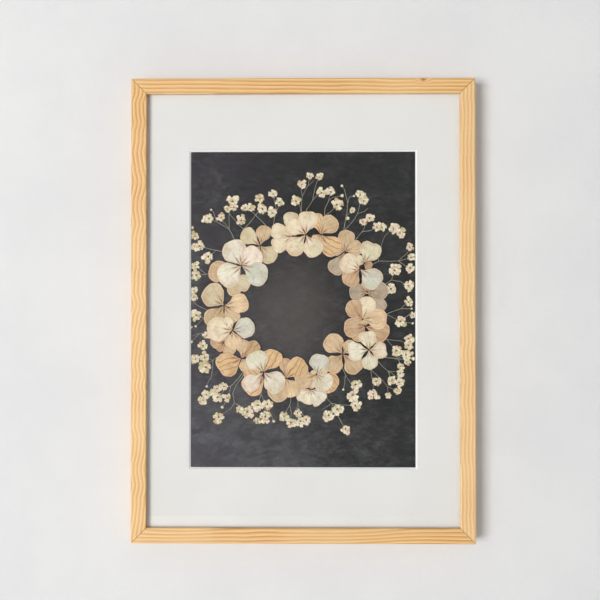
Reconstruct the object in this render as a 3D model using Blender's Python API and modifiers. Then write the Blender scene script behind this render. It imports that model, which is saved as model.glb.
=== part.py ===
"""Pressed flower frame that hangs on a wall.

A slim mitred pine frame holds a pane of glass, a window mat, a black card and a backing board. Between the
card and the glass lies a wreath: hydrangea florets pressed over thin sprigs of gypsophila.

Metres, +Z up. The front looks towards -Y and the wall is the plane y = 0. The origin is the point of the
wall behind the middle notch of the hanger, where the nail goes in.
"""

import math

import bmesh
import bpy
from mathutils import Matrix

# Frame, outside sizes
FRAME_WIDTH = 0.311
FRAME_HEIGHT = 0.420
FRAME_DEPTH = 0.022
CENTRE_Z = -0.180  # middle of the frame, below the hanging point

# Moulding
FACE_WIDTH = 0.014
LIP_DEPTH = 0.004
REBATE_WIDTH = 0.005
EASED_OUTER = 0.0012
EASED_INNER = 0.0008
EASED_STEPS = 3

# Gap between pieces that touch
GAP = 0.0003

# What lies in the rebate, from the front to the back
REBATE_PLAY = 0.001
GLASS_THICK = 0.002
MAT_THICK = 0.0015
CARD_THICK = 0.0005
BOARD_THICK = 0.0025
CARD_WIDTH = 0.210
CARD_HEIGHT = 0.297
WINDOW_WIDTH = 0.204
WINDOW_HEIGHT = 0.2866
WINDOW_RISE = 0.001  # the window's middle above the frame's middle

# Retaining points
POINT_LENGTH = 0.012
POINT_WIDTH = 0.008
POINT_THICK = 0.0004
POINT_BITE = 0.004  # how deep a point is driven into the moulding
POINT_SPREAD = 0.100  # side points above and below the middle

# Hanger
HANGER_LENGTH = 0.052
HANGER_HEIGHT = 0.009
HANGER_SHEET = 0.001
HANGER_TAB = 0.009
HANGER_STEP = 0.0022
TOOTH_PITCH = 0.004
TOOTH_DEPTH = 0.0022
TOOTH_COUNT = 7
RIVET_SHANK = 0.0012
RIVET_INSET = 0.0036
RIVET_HEAD = 0.0024
RIVET_DOME = 0.0008
RIVET_STEPS = 14

# Wreath
WREATH_X = -0.0064
WREATH_Z = CENTRE_Z + 0.0039
SEPAL_THICK = 0.00015
LEVEL_PITCH = 0.00027
FLORET_CORE = 0.0022
FLORET_STEPS = 46
SPRIG_CLEAR = 0.0001
STEM_RADIUS = 0.00028
STEM_FLATTEN = 0.55
BRANCH_TAPER = 0.93
BRANCH_SHIFT = 0.000013
HEAD_TAPER = 0.97
BLOSSOM_THICK = 0.0004
BLOSSOM_SIDES = 9
BUD_SIDES = 6
MM = 0.001

# Places across the depth
LIP_BACK = -FRAME_DEPTH + LIP_DEPTH
GLASS_Y = LIP_BACK + GAP + GLASS_THICK / 2
MAT_Y = GLASS_Y + GLASS_THICK / 2 + GAP + MAT_THICK / 2
CARD_Y = MAT_Y + MAT_THICK / 2 + GAP + CARD_THICK / 2
BOARD_Y = CARD_Y + CARD_THICK / 2 + GAP + BOARD_THICK / 2
CARD_FACE = CARD_Y - CARD_THICK / 2
BOARD_BACK = BOARD_Y + BOARD_THICK / 2
SPRIG_Y = CARD_FACE - SPRIG_CLEAR - BLOSSOM_THICK / 2
FIRST_LEVEL_Y = CARD_FACE - SPRIG_CLEAR - BLOSSOM_THICK - 1.5 * SPRIG_CLEAR - SEPAL_THICK / 2

REBATE_OPEN_WIDTH = FRAME_WIDTH - 2 * (FACE_WIDTH - REBATE_WIDTH)
REBATE_OPEN_HEIGHT = FRAME_HEIGHT - 2 * (FACE_WIDTH - REBATE_WIDTH)
SHEET_WIDTH = REBATE_OPEN_WIDTH - 2 * REBATE_PLAY
SHEET_HEIGHT = REBATE_OPEN_HEIGHT - 2 * REBATE_PLAY

# Hydrangea florets: letter, level (1 lies next to the card), tint, middle (x, z) from the wreath's middle in
# mm, and its sepals as (direction in degrees, reach in mm, width in mm)
FLORETS = [
    ("a", 1, "olive", (-32.5, 55), [(141, 21.5, 15), (75, 19, 14), (-48, 19.5, 16.5), (-125, 15, 13)]),
    ("b", 3, "white", (-49.5, 36.5), [(115, 25.5, 23), (42, 22.5, 20), (-28, 26.5, 21.5), (215, 25, 23)]),
    ("c", 1, "tan", (-60.5, 26.5), [(153, 20.5, 20), (-23, 21, 15), (-70, 18, 13), (60, 12, 12)]),
    ("d", 2, "olive", (-65.5, 0.5), [(136, 24, 22), (8, 23, 17.5), (235, 24.5, 20), (-54, 19, 14.5)]),
    ("e", 4, "cream", (-57.5, -22), [(12, 20.5, 19), (176, 24, 22.5), (127, 14, 12), (-85, 18, 15.5)]),
    ("f", 1, "tan", (-66, -33.5), [(160, 12.5, 14), (225, 9, 10), (-45, 14, 13), (60, 10, 10)]),
    ("g", 3, "peach", (-49.5, -47.5), [(203, 24, 22), (80, 17.5, 13), (43, 21, 13), (-60, 13, 12)]),
    ("h", 5, "cream", (-29.5, -60), [(119, 21.5, 20), (58, 23.5, 18.5), (221, 23, 19), (-42, 23.5, 20.5)]),
    ("i", 2, "peach", (-29, -65.5), [(210, 21.5, 21), (155, 20, 16), (-40, 27.5, 21)]),
    ("j", 4, "peach", (-9, -65.5), [(44, 23.5, 19), (92, 18.5, 12), (-64, 18.5, 16.5), (180, 12, 12)]),
    ("k", 3, "cream", (18.5, -62), [(76, 19.5, 17.5), (201, 21, 17.5), (-47, 18, 18)]),
    ("l", 2, "peach", (22, -64), [(-35, 18.7, 20), (80, 12, 12), (170, 10, 10)]),
    ("m", 1, "white", (13, -75.5), [(232, 15, 14.5), (-86, 14, 13.5), (-47, 17, 15.5), (75, 9, 9)]),
    ("n", 1, "tan", (42.5, -43.5), [(131, 22, 18.5), (230, 20.5, 16.5), (-45, 22.5, 17.5), (45, 15.5, 13)]),
    ("o", 4, "white", (66, -39.5), [(93, 17.5, 15.5), (187, 20, 16.5), (-4, 17, 14.5), (-85, 18.5, 14)]),
    ("p", 2, "peach", (63, -18.5), [(185, 20, 18), (228, 16.5, 13.5), (-22, 23, 19), (95, 11, 10)]),
    ("q", 3, "peach", (60.5, -12), [(128, 20.5, 16.5), (73, 21.5, 17), (2, 22.5, 19), (190, 10, 8)]),
    ("r", 1, "grey", (64.5, 13), [(180, 16.5, 16), (3, 19.5, 16.5), (-48, 23.5, 13), (90, 10, 12)]),
    ("s", 3, "cream", (58, 33.5), [(152, 19.5, 18.5), (223, 19.5, 16.5), (-38, 23.5, 19.5)]),
    ("t", 2, "cream", (62, 39), [(63, 21.5, 19), (-30, 8, 8), (155, 10, 10)]),
    ("u", 1, "tan", (44.5, 49.5), [(85, 20, 15.5), (20, 16.5, 14.5), (158, 14, 13), (241, 23.5, 15.5)]),
    ("v", 2, "peach", (22.5, 65), [(50, 20.5, 17.5), (105, 20, 13), (-48, 23.5, 19), (235, 11, 11)]),
    ("w", 3, "cream", (9, 65), [(82, 22, 18), (148, 20.5, 15.5), (227, 23.5, 17.5), (-62, 22.5, 18)]),
    ("x", 2, "cream", (-3, 63.5), [(160, 21, 14.5), (211, 21.5, 15.5), (95, 22.5, 14.5)]),
]

# Gypsophila sprigs: stems as runs of points (x, z) from the wreath's middle in mm, the first run being the
# main stem, then blossoms as (x, z, radius) and buds as (x, z, radius), in mm
SPRIGS = [
    (
        [[(-55, 57.5), (-61, 70), (-72.5, 77), (-78, 79)], [(-61, 70), (-61, 78.5), (-60.7, 86), (-58, 92)],
         [(-72.5, 77), (-75.3, 86), (-77, 87.5)], [(-61, 71), (-67.5, 78)]],
        [(-80, 80, 4), (-57.5, 96, 4.8), (-56.6, 90, 3.2), (-62, 88.5, 3), (-68.5, 81, 3.6)],
        [(-84, 77.5, 2), (-77, 87.5, 1.2)],
    ),
    (
        [[(-44, 62), (-47.5, 70), (-54, 77)], [(-47.5, 70), (-38.5, 82), (-41, 89)]],
        [(-50.2, 78.5, 4.2), (-46.5, 89.5, 3), (-41, 89.5, 3.4)],
        [],
    ),
    (
        [[(-25.6, 71), (-34, 82), (-33.5, 90), (-34, 95)]],
        [(-30.6, 89, 4.4), (-33, 98, 3.6)],
        [],
    ),
    (
        [[(-21, 70), (-19.2, 82), (-17.4, 87), (-19.2, 94), (-21, 100)], [(-17.4, 87), (-15, 93)]],
        [(-21, 102.5, 3.4), (-15, 95, 3.6), (-21.8, 85.4, 4.2)],
        [],
    ),
    (
        [[(4.1, 80), (5, 92), (5.7, 100), (4.6, 107), (5, 110)],
         [(5.7, 100), (9.1, 107), (11, 109.5), (12.4, 117)], [(11, 109.5), (16, 114)],
         [(4.8, 84), (2.7, 95)]],
        [(5.3, 111, 3.6), (12.6, 118.7, 2.8), (0, 96, 4.2)],
        [],
    ),
    (
        [[(9, 82), (9.5, 88), (15.3, 96.5), (17, 106), (20.3, 116.8)], [(15.3, 96.5), (21, 103)]],
        [(21.5, 117.8, 3.2), (23.5, 103.2, 4.2)],
        [],
    ),
    (
        [[(26, 77), (26.5, 89.5), (29.7, 96), (33.3, 99), (40, 100)], [(29.5, 95.8), (31.2, 102)],
         [(26.4, 83), (32, 86.3), (37, 91)]],
        [(32, 104.5, 3.9), (37.6, 92.8, 4.6)],
        [(41.3, 100.4, 1.8)],
    ),
    (
        [[(43, 64), (44.3, 74), (46.1, 84), (46.6, 92), (48.4, 99), (52, 100)],
         [(46.9, 94), (44, 106), (42, 109)], [(43.5, 68), (48, 73), (56, 84), (58, 92), (58.9, 99)],
         [(56, 84), (62, 86), (65.3, 89)], [(45.9, 82), (50, 86)]],
        [(51.2, 87, 2.5), (58.4, 102, 3.8), (61.6, 96, 3.8)],
        [(46.6, 79.4, 1.9), (42, 109, 1.4), (52.3, 100, 1.2)],
    ),
    (
        [[(53, 59), (60, 67.6), (63, 74)], [(60, 67.6), (67.6, 68.7), (73, 71)], [(62.4, 73), (66.5, 79)]],
        [(61, 76.7, 3.3), (67, 80.3, 3.8), (74, 72, 3.8), (78.5, 72, 3.4)],
        [],
    ),
    (
        [[(65.7, 35.6), (75, 41), (93, 41), (100.4, 47.5), (103, 51)],
         [(75, 41), (75, 46), (77.1, 53), (78.7, 59), (81.7, 65), (86, 69)], [(93, 41), (101.5, 34.5)],
         [(93, 41), (102, 43.5)]],
        [(89, 70.5, 4.2), (95, 66.7, 4.1), (103.6, 54, 3.4), (104.6, 44.5, 3.4), (104, 34.5, 3.9)],
        [],
    ),
    (
        [[(66.7, 13.7), (80.3, 19.6), (86.7, 23.7), (89, 29)], [(86.7, 23.7), (95.4, 22.4), (99, 19)],
         [(79, 19), (85, 17.2)]],
        [(90, 33, 4.8), (102.5, 18.3, 4.2), (86.7, 15.5, 4.5)],
        [],
    ),
    (
        [[(80, -8), (84, -6.4), (95.4, -2.3), (101, 3)], [(95.4, -2.3), (104, -2.3)],
         [(82, -7), (91.5, -12)], [(95, -13), (105, -15.5)]],
        [(102.5, 4, 3.8), (95, -14, 4.5)],
        [(104.5, -2.3, 1.1), (105.5, -15.5, 1.2)],
    ),
    (
        [[(76.7, -29), (82.2, -30), (95, -31.5), (101, -34.3)], [(82.2, -30), (89, -38)]],
        [(102.5, -29.7, 3.9), (102.3, -35.5, 3.7), (91.3, -41, 4.5)],
        [],
    ),
    (
        [[(71, -46.6), (74.4, -50), (83.5, -59), (92, -64.5)], [(83.5, -59), (85.5, -65)],
         [(83.5, -59), (93, -60)]],
        [(95, -61, 3.5), (87.3, -67.6, 3.7), (94, -69.5, 3.9)],
        [],
    ),
    (
        [[(65.7, -54.8), (68.5, -58), (78.5, -67), (83, -73), (83.7, -80)],
         [(68, -57.5), (69, -65), (70.3, -71), (70, -78)], [(83, -73), (90, -76)]],
        [(83.5, -81, 2.4), (92, -77, 3.2), (73, -68.5, 3.8), (70, -80.3, 4.2)],
        [(75, -82.2, 2)],
    ),
    (
        [[(42, -56), (45, -62.5), (50, -70), (52, -79)], [(45, -62.5), (44.3, -70), (43, -75)]],
        [(54.3, -71.7, 4.8), (51.6, -81.3, 4.4)],
        [(43, -75.3, 1.2)],
    ),
    (
        [[(25.6, -80), (28, -83.5), (32, -88), (35, -92)], [(32, -88), (23.7, -94)],
         [(32, -88), (44.7, -89.7), (52, -90)], [(36, -94), (41.5, -106), (44, -110)],
         [(33.2, -89.6), (31, -96.5)]],
        [(37.9, -94, 4.5), (29.5, -99.5, 4.5), (54.5, -90, 4.4), (45.2, -112, 4)],
        [],
    ),
    (
        [[(-4.6, -80), (-5.5, -89.5), (-9.6, -97)], [(-5.5, -89.5), (-4.1, -97), (-4.6, -104)]],
        [(-11, -100.4, 4), (-4.8, -106, 4.2)],
        [],
    ),
]

TINTS = {
    "white": (0.86, 0.85, 0.78),
    "cream": (0.86, 0.80, 0.66),
    "olive": (0.74, 0.69, 0.52),
    "tan": (0.72, 0.58, 0.42),
    "peach": (0.82, 0.62, 0.42),
    "grey": (0.62, 0.60, 0.55),
}


def new_collection(name):
    collection = bpy.data.collections.new(name)
    bpy.context.scene.collection.children.link(collection)
    return collection


def make_material(name, colour, roughness, metallic=0.0):
    material = bpy.data.materials.new(name)
    material.use_nodes = True
    shader = material.node_tree.nodes["Principled BSDF"]
    shader.inputs["Base Color"].default_value = (*colour, 1.0)
    shader.inputs["Roughness"].default_value = roughness
    shader.inputs["Metallic"].default_value = metallic
    return material


def make_glass_material():
    material = make_material("clear_glass", (0.98, 1.0, 0.99), 0.02)
    shader = material.node_tree.nodes["Principled BSDF"]
    shader.inputs["Transmission Weight"].default_value = 1.0
    shader.inputs["IOR"].default_value = 1.5
    return material


def place(mesh, name, collection, material=None):
    piece = bpy.data.objects.new(name, mesh)
    collection.objects.link(piece)
    if material:
        mesh.materials.append(material)
    return piece


def mark_as_cutter(piece):
    piece.hide_render = True
    piece.display_type = "WIRE"


def box_mesh(name, size, centre):
    """A box of the given size about a centre."""
    shape = bmesh.new()
    bmesh.ops.create_cube(shape, size=1.0)
    bmesh.ops.scale(shape, vec=size, verts=shape.verts)
    bmesh.ops.translate(shape, vec=centre, verts=shape.verts)
    mesh = bpy.data.meshes.new(name)
    shape.to_mesh(mesh)
    shape.free()
    return mesh


def mesh_of_curve(curve, name):
    """The curve's closed mesh with its loose caps welded on."""
    guide = bpy.data.objects.new(name, curve)
    bpy.context.scene.collection.objects.link(guide)
    bpy.context.view_layer.update()
    graph = bpy.context.evaluated_depsgraph_get()
    mesh = bpy.data.meshes.new_from_object(guide.evaluated_get(graph))
    bpy.data.objects.remove(guide)
    shape = bmesh.new()
    shape.from_mesh(mesh)
    bmesh.ops.remove_doubles(shape, verts=shape.verts, dist=1e-7)
    bmesh.ops.recalc_face_normals(shape, faces=shape.faces)
    shape.to_mesh(mesh)
    shape.free()
    return mesh


def flat_outline_mesh(points, thickness, name):
    """A flat sheet with the given outline in XY, extruded along Z."""
    curve = bpy.data.curves.new(name, "CURVE")
    curve.dimensions = "2D"
    curve.fill_mode = "BOTH"
    curve.extrude = thickness / 2
    spline = curve.splines.new("POLY")
    spline.points.add(len(points) - 1)
    for point, (x, y) in zip(spline.points, points):
        point.co = (x, y, 0.0, 1.0)
    spline.use_cyclic_u = True
    return mesh_of_curve(curve, name)


def cut(piece, cutter):
    modifier = piece.modifiers.new("Cut_" + cutter.name, "BOOLEAN")
    modifier.operation = "DIFFERENCE"
    modifier.solver = "EXACT"
    modifier.object = cutter
    mark_as_cutter(cutter)


def arc(centre_x, centre_y, radius, start, end):
    """Points of an arc, angles in degrees."""
    angles = [math.radians(start + (end - start) * i / EASED_STEPS) for i in range(EASED_STEPS + 1)]
    return [(centre_x + radius * math.cos(a), centre_y + radius * math.sin(a)) for a in angles]


def moulding_profile():
    """Outline of the moulding: x runs in from the outer edge, y is the world's y."""
    front = -FRAME_DEPTH
    shoulder = FACE_WIDTH - REBATE_WIDTH
    outline = [(0.0, 0.0)]
    outline += arc(EASED_OUTER, front + EASED_OUTER, EASED_OUTER, 180, 270)
    outline += arc(FACE_WIDTH - EASED_INNER, front + EASED_INNER, EASED_INNER, 270, 360)
    outline += [(FACE_WIDTH, LIP_BACK), (shoulder, LIP_BACK), (shoulder, 0.0)]
    return outline


def make_rail(name, length, turn, middle, collection, material):
    """One length of moulding, its ends mitred at 45 degrees and its outer edge on the frame's outside."""
    mesh = flat_outline_mesh(moulding_profile(), length, name)
    for vertex in mesh.vertices:
        trimmed = length / 2 - vertex.co.x - GAP / math.sqrt(2)
        vertex.co.z = math.copysign(trimmed, vertex.co.z)
    mesh.transform(Matrix.Rotation(math.radians(turn), 4, "Y"))
    piece = place(mesh, name, collection, material)
    piece.location = middle
    return piece


def make_frame(collection, material):
    top = CENTRE_Z + FRAME_HEIGHT / 2
    bottom = CENTRE_Z - FRAME_HEIGHT / 2
    side = FRAME_WIDTH / 2
    rails = {
        "top": make_rail("top_rail", FRAME_WIDTH, 90, (0, 0, top), collection, material),
        "bottom": make_rail("bottom_rail", FRAME_WIDTH, -90, (0, 0, bottom), collection, material),
        "left": make_rail("left_stile", FRAME_HEIGHT, 0, (-side, 0, CENTRE_Z), collection, material),
        "right": make_rail("right_stile", FRAME_HEIGHT, 180, (side, 0, CENTRE_Z), collection, material),
    }
    return rails


def make_retaining_points(rails, collection, cutters, material):
    """Flat steel points driven into the rebate's side wall, lying over the back of the board."""
    reach_x = REBATE_OPEN_WIDTH / 2 + POINT_BITE - POINT_LENGTH / 2
    reach_z = REBATE_OPEN_HEIGHT / 2 + POINT_BITE - POINT_LENGTH / 2
    y = BOARD_BACK + GAP + POINT_THICK / 2
    flat = (POINT_LENGTH, POINT_THICK, POINT_WIDTH)
    upright = (POINT_WIDTH, POINT_THICK, POINT_LENGTH)
    spots = [
        ("left", flat, (-reach_x, y, CENTRE_Z + POINT_SPREAD)),
        ("left", flat, (-reach_x, y, CENTRE_Z - POINT_SPREAD)),
        ("right", flat, (reach_x, y, CENTRE_Z + POINT_SPREAD)),
        ("right", flat, (reach_x, y, CENTRE_Z - POINT_SPREAD)),
        ("top", upright, (0.06, y, CENTRE_Z + reach_z)),
        ("bottom", upright, (0.06, y, CENTRE_Z - reach_z)),
    ]
    for number, (rail, size, centre) in enumerate(spots, start=1):
        name = f"retaining_point_{number}"
        place(box_mesh(name, size, centre), name, collection, material)
        slot_size = [length + 2 * GAP for length in size]
        slot = place(box_mesh(f"slot_{number}", slot_size, centre), f"slot_{number}", cutters)
        cut(rails[rail], slot)


def make_sheets(collection, cutters, materials):
    """Glass, mat, card and backing board, from the front to the back."""
    sheet = (SHEET_WIDTH, SHEET_HEIGHT)
    glass = box_mesh("glass", (sheet[0], GLASS_THICK, sheet[1]), (0, GLASS_Y, CENTRE_Z))
    place(glass, "glass", collection, materials["glass"])
    mat = box_mesh("window_mat", (sheet[0], MAT_THICK, sheet[1]), (0, MAT_Y, CENTRE_Z))
    mat = place(mat, "window_mat", collection, materials["mat"])
    cut(mat, place(window_mesh(), "window_cutter", cutters))
    window_z = CENTRE_Z + WINDOW_RISE
    card = box_mesh("mount_card", (CARD_WIDTH, CARD_THICK, CARD_HEIGHT), (0, CARD_Y, window_z))
    place(card, "mount_card", collection, materials["card"])
    board = box_mesh("backing_board", (sheet[0], BOARD_THICK, sheet[1]), (0, BOARD_Y, CENTRE_Z))
    return place(board, "backing_board", collection, materials["board"])


def window_mesh():
    """A block that opens forwards at 45 degrees, for the mat's bevelled window."""
    reach = MAT_THICK / 2 + MAT_THICK
    mesh = box_mesh("window_cutter", (1.0, 1.0, 1.0), (0, 0, 0))
    for vertex in mesh.vertices:
        y = math.copysign(reach, vertex.co.y)
        spread = MAT_THICK / 2 - y
        vertex.co.x = math.copysign(WINDOW_WIDTH / 2 + spread, vertex.co.x)
        vertex.co.z = math.copysign(WINDOW_HEIGHT / 2 + spread, vertex.co.z) + CENTRE_Z + WINDOW_RISE
        vertex.co.y = y + MAT_Y
    return mesh


def make_hanger(board, collection, cutters, materials):
    """A stepped steel strip with a toothed lower edge, riveted through the board at both ends."""
    base = BOARD_BACK + GAP
    half = HANGER_LENGTH / 2
    inner = half - HANGER_TAB
    rise = HANGER_STEP
    sheet = HANGER_SHEET
    outer_side = [(-half, sheet), (-inner - rise, sheet), (-inner, rise + sheet)]
    inner_side = [(-inner + sheet / 2, rise), (-inner - rise + sheet / 2, 0.0), (-half, 0.0)]
    mirrored = [(-x, y) for x, y in reversed(outer_side)]
    outline = outer_side + mirrored + [(-x, y) for x, y in reversed(inner_side)] + inner_side
    mesh = flat_outline_mesh(outline, HANGER_HEIGHT, "sawtooth_hanger")
    hanger_z = HANGER_HEIGHT / 2 - TOOTH_DEPTH
    mesh.transform(Matrix.Translation((0, base, hanger_z)))
    hanger = place(mesh, "sawtooth_hanger", collection, materials["steel"])
    for number in range(TOOTH_COUNT):
        x = (number - (TOOTH_COUNT - 1) / 2) * TOOTH_PITCH
        notch = notch_mesh(x, base)
        cut(hanger, place(notch, f"notch_{number + 1}", cutters))
    for name, side in (("left", -1), ("right", 1)):
        x = side * (half - RIVET_INSET)
        bore = cylinder_mesh(RIVET_SHANK + GAP, 0.02, (x, base, hanger_z))
        hole = place(bore, f"rivet_hole_{name}", cutters)
        cut(hanger, hole)
        cut(board, hole)
        make_rivet(f"hanger_rivet_{name}", x, hanger_z, base, collection, materials["steel"])


def notch_mesh(x, base):
    """A wedge that cuts one V notch, point up, out of the strip's lower edge."""
    width = TOOTH_PITCH * 0.42
    points = [(x - width, -TOOTH_DEPTH * 1.5), (x + width, -TOOTH_DEPTH * 1.5), (x, 0.0)]
    mesh = flat_outline_mesh(points, 0.01, "notch")
    mesh.transform(Matrix.Rotation(math.radians(90), 4, "X"))
    mesh.transform(Matrix.Translation((0, base + HANGER_STEP, 0)))
    return mesh


def cylinder_mesh(radius, length, centre):
    """A cylinder along Y."""
    shape = bmesh.new()
    bmesh.ops.create_cone(
        shape, cap_ends=True, segments=RIVET_STEPS, radius1=radius, radius2=radius, depth=length,
        matrix=Matrix.Translation(centre) @ Matrix.Rotation(math.radians(90), 4, "X"),
    )
    mesh = bpy.data.meshes.new("cylinder")
    shape.to_mesh(mesh)
    shape.free()
    return mesh


def make_rivet(name, x, z, base, collection, material):
    """A turned rivet: a domed head on the strip and a shank through the board."""
    seat = HANGER_SHEET + GAP
    tail = -BOARD_THICK - GAP
    profile = [
        (0.0, seat + RIVET_DOME), (RIVET_HEAD * 0.6, seat + RIVET_DOME * 0.8), (RIVET_HEAD, seat),
        (RIVET_SHANK, seat), (RIVET_SHANK, tail), (0.0, tail),
    ]
    mesh = bpy.data.meshes.new(name)
    edges = [(i, i + 1) for i in range(len(profile) - 1)]
    mesh.from_pydata([(radius, 0.0, height) for radius, height in profile], edges, [])
    rivet = place(mesh, name, collection, material)
    screw = rivet.modifiers.new("Turn", "SCREW")
    screw.axis = "Z"
    screw.steps = RIVET_STEPS
    screw.render_steps = RIVET_STEPS
    screw.use_merge_vertices = True
    screw.merge_threshold = 0.00001
    rivet.rotation_euler = (math.radians(-90), 0, 0)
    rivet.location = (x, base, z)
    return rivet


def floret_outline(sepals):
    """Reach at each angle: the furthest rim of the round sepals that fan out from the middle."""
    outline = []
    for step in range(FLORET_STEPS):
        angle = 2 * math.pi * step / FLORET_STEPS
        reach = FLORET_CORE
        for direction, length, width in sepals:
            radius = width / 2 * MM
            stand = length * MM - radius
            off = angle - math.radians(direction)
            inside = radius**2 - (stand * math.sin(off)) ** 2
            if inside > 0 and (math.cos(off) > 0 or stand < radius):
                reach = max(reach, stand * math.cos(off) + math.sqrt(inside))
        outline.append((reach * math.cos(angle), reach * math.sin(angle)))
    return outline


def make_floret(letter, level, tint, middle, sepals, collection, materials):
    """One pressed floret: a thin flat piece whose sepals meet at a small middle."""
    name = f"hydrangea_floret_{letter}"
    mesh = flat_outline_mesh(floret_outline(sepals), SEPAL_THICK, name)
    mesh.transform(Matrix.Rotation(math.radians(90), 4, "X"))
    floret = place(mesh, name, collection, materials[tint])
    y = FIRST_LEVEL_Y - (level - 1) * LEVEL_PITCH
    floret.location = (WREATH_X + middle[0] * MM, y, WREATH_Z + middle[1] * MM)
    return floret


def stem_mesh(run, order, name):
    """A thin stem along a run of points, pressed flat. Each further branch is thinner and lies lower."""
    curve = bpy.data.curves.new(name, "CURVE")
    curve.dimensions = "3D"
    curve.bevel_depth = STEM_RADIUS * BRANCH_TAPER**order
    curve.bevel_resolution = 0
    curve.use_fill_caps = True
    spline = curve.splines.new("POLY")
    spline.points.add(len(run) - 1)
    for point, (x, z) in zip(spline.points, run):
        point.co = (x * MM, 0.0, z * MM, 1.0)
    mesh = mesh_of_curve(curve, name)
    mesh.transform(Matrix.Diagonal((1.0, STEM_FLATTEN, 1.0, 1.0)))
    mesh.transform(Matrix.Translation((0, BRANCH_SHIFT * order, 0)))
    return mesh


def head_mesh(x, z, radius, sides, order):
    """A pressed blossom or bud: a low disc whose rim slopes in towards the front. No two are as thick."""
    shape = bmesh.new()
    bmesh.ops.create_cone(
        shape, cap_ends=True, segments=sides, radius1=radius * MM, radius2=radius * 0.85 * MM,
        depth=BLOSSOM_THICK * HEAD_TAPER**order,
        matrix=Matrix.Translation((x * MM, 0, z * MM))
        @ Matrix.Rotation(0.3 * order, 4, "Y") @ Matrix.Rotation(math.radians(90), 4, "X"),
    )
    mesh = bpy.data.meshes.new("head")
    shape.to_mesh(mesh)
    shape.free()
    return mesh


def make_sprig(number, stems, blossoms, buds, collection, cutters, material):
    """One sprig: its stems, blossoms and buds joined into a single solid."""
    name = f"gypsophila_sprig_{number:02d}"
    sprig = place(stem_mesh(stems[0], 0, name), name, collection, material)
    sprig.location = (WREATH_X, SPRIG_Y, WREATH_Z)
    parts = [stem_mesh(run, order, name) for order, run in enumerate(stems[1:], start=1)]
    heads = [(*blossom, BLOSSOM_SIDES) for blossom in blossoms] + [(*bud, BUD_SIDES) for bud in buds]
    parts += [head_mesh(*head, order) for order, head in enumerate(heads)]
    for index, part in enumerate(parts, start=1):
        twig = place(part, f"twig_{number:02d}_{index:02d}", cutters)
        twig.location = sprig.location
        mark_as_cutter(twig)
        join = sprig.modifiers.new(f"Join_{index:02d}", "BOOLEAN")
        join.operation = "UNION"
        join.solver = "EXACT"
        join.object = twig
    return sprig


def clear_scene():
    for item in list(bpy.data.objects):
        bpy.data.objects.remove(item, do_unlink=True)


def build():
    clear_scene()
    parts = new_collection("pressed_flower_frame")
    cutters = new_collection("cutters")
    materials = {
        "pine": make_material("pine", (0.85, 0.60, 0.32), 0.55),
        "glass": make_glass_material(),
        "mat": make_material("mount_board", (0.86, 0.84, 0.80), 0.9),
        "card": make_material("black_card", (0.05, 0.05, 0.05), 0.9),
        "board": make_material("hardboard", (0.36, 0.24, 0.15), 0.8),
        "steel": make_material("zinc_plated_steel", (0.62, 0.62, 0.60), 0.35, 1.0),
        "gypsophila": make_material("dried_gypsophila", (0.80, 0.77, 0.60), 0.9),
    }
    for tint, colour in TINTS.items():
        materials[tint] = make_material(f"sepal_{tint}", colour, 0.8)
    rails = make_frame(parts, materials["pine"])
    board = make_sheets(parts, cutters, materials)
    make_retaining_points(rails, parts, cutters, materials["steel"])
    make_hanger(board, parts, cutters, materials)
    for letter, level, tint, middle, sepals in FLORETS:
        make_floret(letter, level, tint, middle, sepals, parts, materials)
    for number, (stems, blossoms, buds) in enumerate(SPRIGS, start=1):
        make_sprig(number, stems, blossoms, buds, parts, cutters, materials["gypsophila"])


build()
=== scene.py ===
"""The looks of a pressed flower frame: a wreath of hydrangea florets and gypsophila behind glass.

Metres, +Z up. The frame hangs on the wall y = 0 and its front looks towards -Y.
"""

import math

import bpy
import numpy as np
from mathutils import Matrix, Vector


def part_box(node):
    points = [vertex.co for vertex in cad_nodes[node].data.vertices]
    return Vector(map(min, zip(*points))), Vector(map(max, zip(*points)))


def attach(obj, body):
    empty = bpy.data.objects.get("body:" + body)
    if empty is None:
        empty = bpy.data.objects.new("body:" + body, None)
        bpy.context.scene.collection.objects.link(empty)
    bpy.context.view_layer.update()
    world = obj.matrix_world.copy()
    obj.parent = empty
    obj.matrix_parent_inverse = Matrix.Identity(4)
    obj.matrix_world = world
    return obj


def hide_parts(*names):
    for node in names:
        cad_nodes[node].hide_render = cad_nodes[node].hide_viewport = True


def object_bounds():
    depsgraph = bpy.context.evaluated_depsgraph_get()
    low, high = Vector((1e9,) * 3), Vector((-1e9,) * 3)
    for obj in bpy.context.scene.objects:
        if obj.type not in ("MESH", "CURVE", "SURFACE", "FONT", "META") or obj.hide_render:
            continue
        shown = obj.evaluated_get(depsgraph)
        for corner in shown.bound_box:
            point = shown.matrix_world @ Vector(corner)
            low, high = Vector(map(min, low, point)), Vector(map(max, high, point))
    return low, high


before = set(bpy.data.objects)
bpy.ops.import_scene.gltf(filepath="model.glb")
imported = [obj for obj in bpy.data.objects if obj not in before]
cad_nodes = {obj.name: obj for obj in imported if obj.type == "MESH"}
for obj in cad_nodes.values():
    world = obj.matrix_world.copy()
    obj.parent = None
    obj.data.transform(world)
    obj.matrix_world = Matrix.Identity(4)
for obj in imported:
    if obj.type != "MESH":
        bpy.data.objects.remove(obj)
cad_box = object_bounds()


# The whole object hangs flat on a wall at eye level. It is seen from straight in front, from twice its
# height away, with some of the wall on every side.
frame_low, frame_high = (np.array(corner) for corner in cad_box)
frame_middle = (frame_low + frame_high) / 2
AIM_OFFSET = (-0.0027, 0.0094)
CAMERA_OFFSET = (0.009, -0.008)
VIEW_DISTANCE = 0.84
VIEW_WIDTH = 0.5405
SENSOR_WIDTH = 36.0

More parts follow.
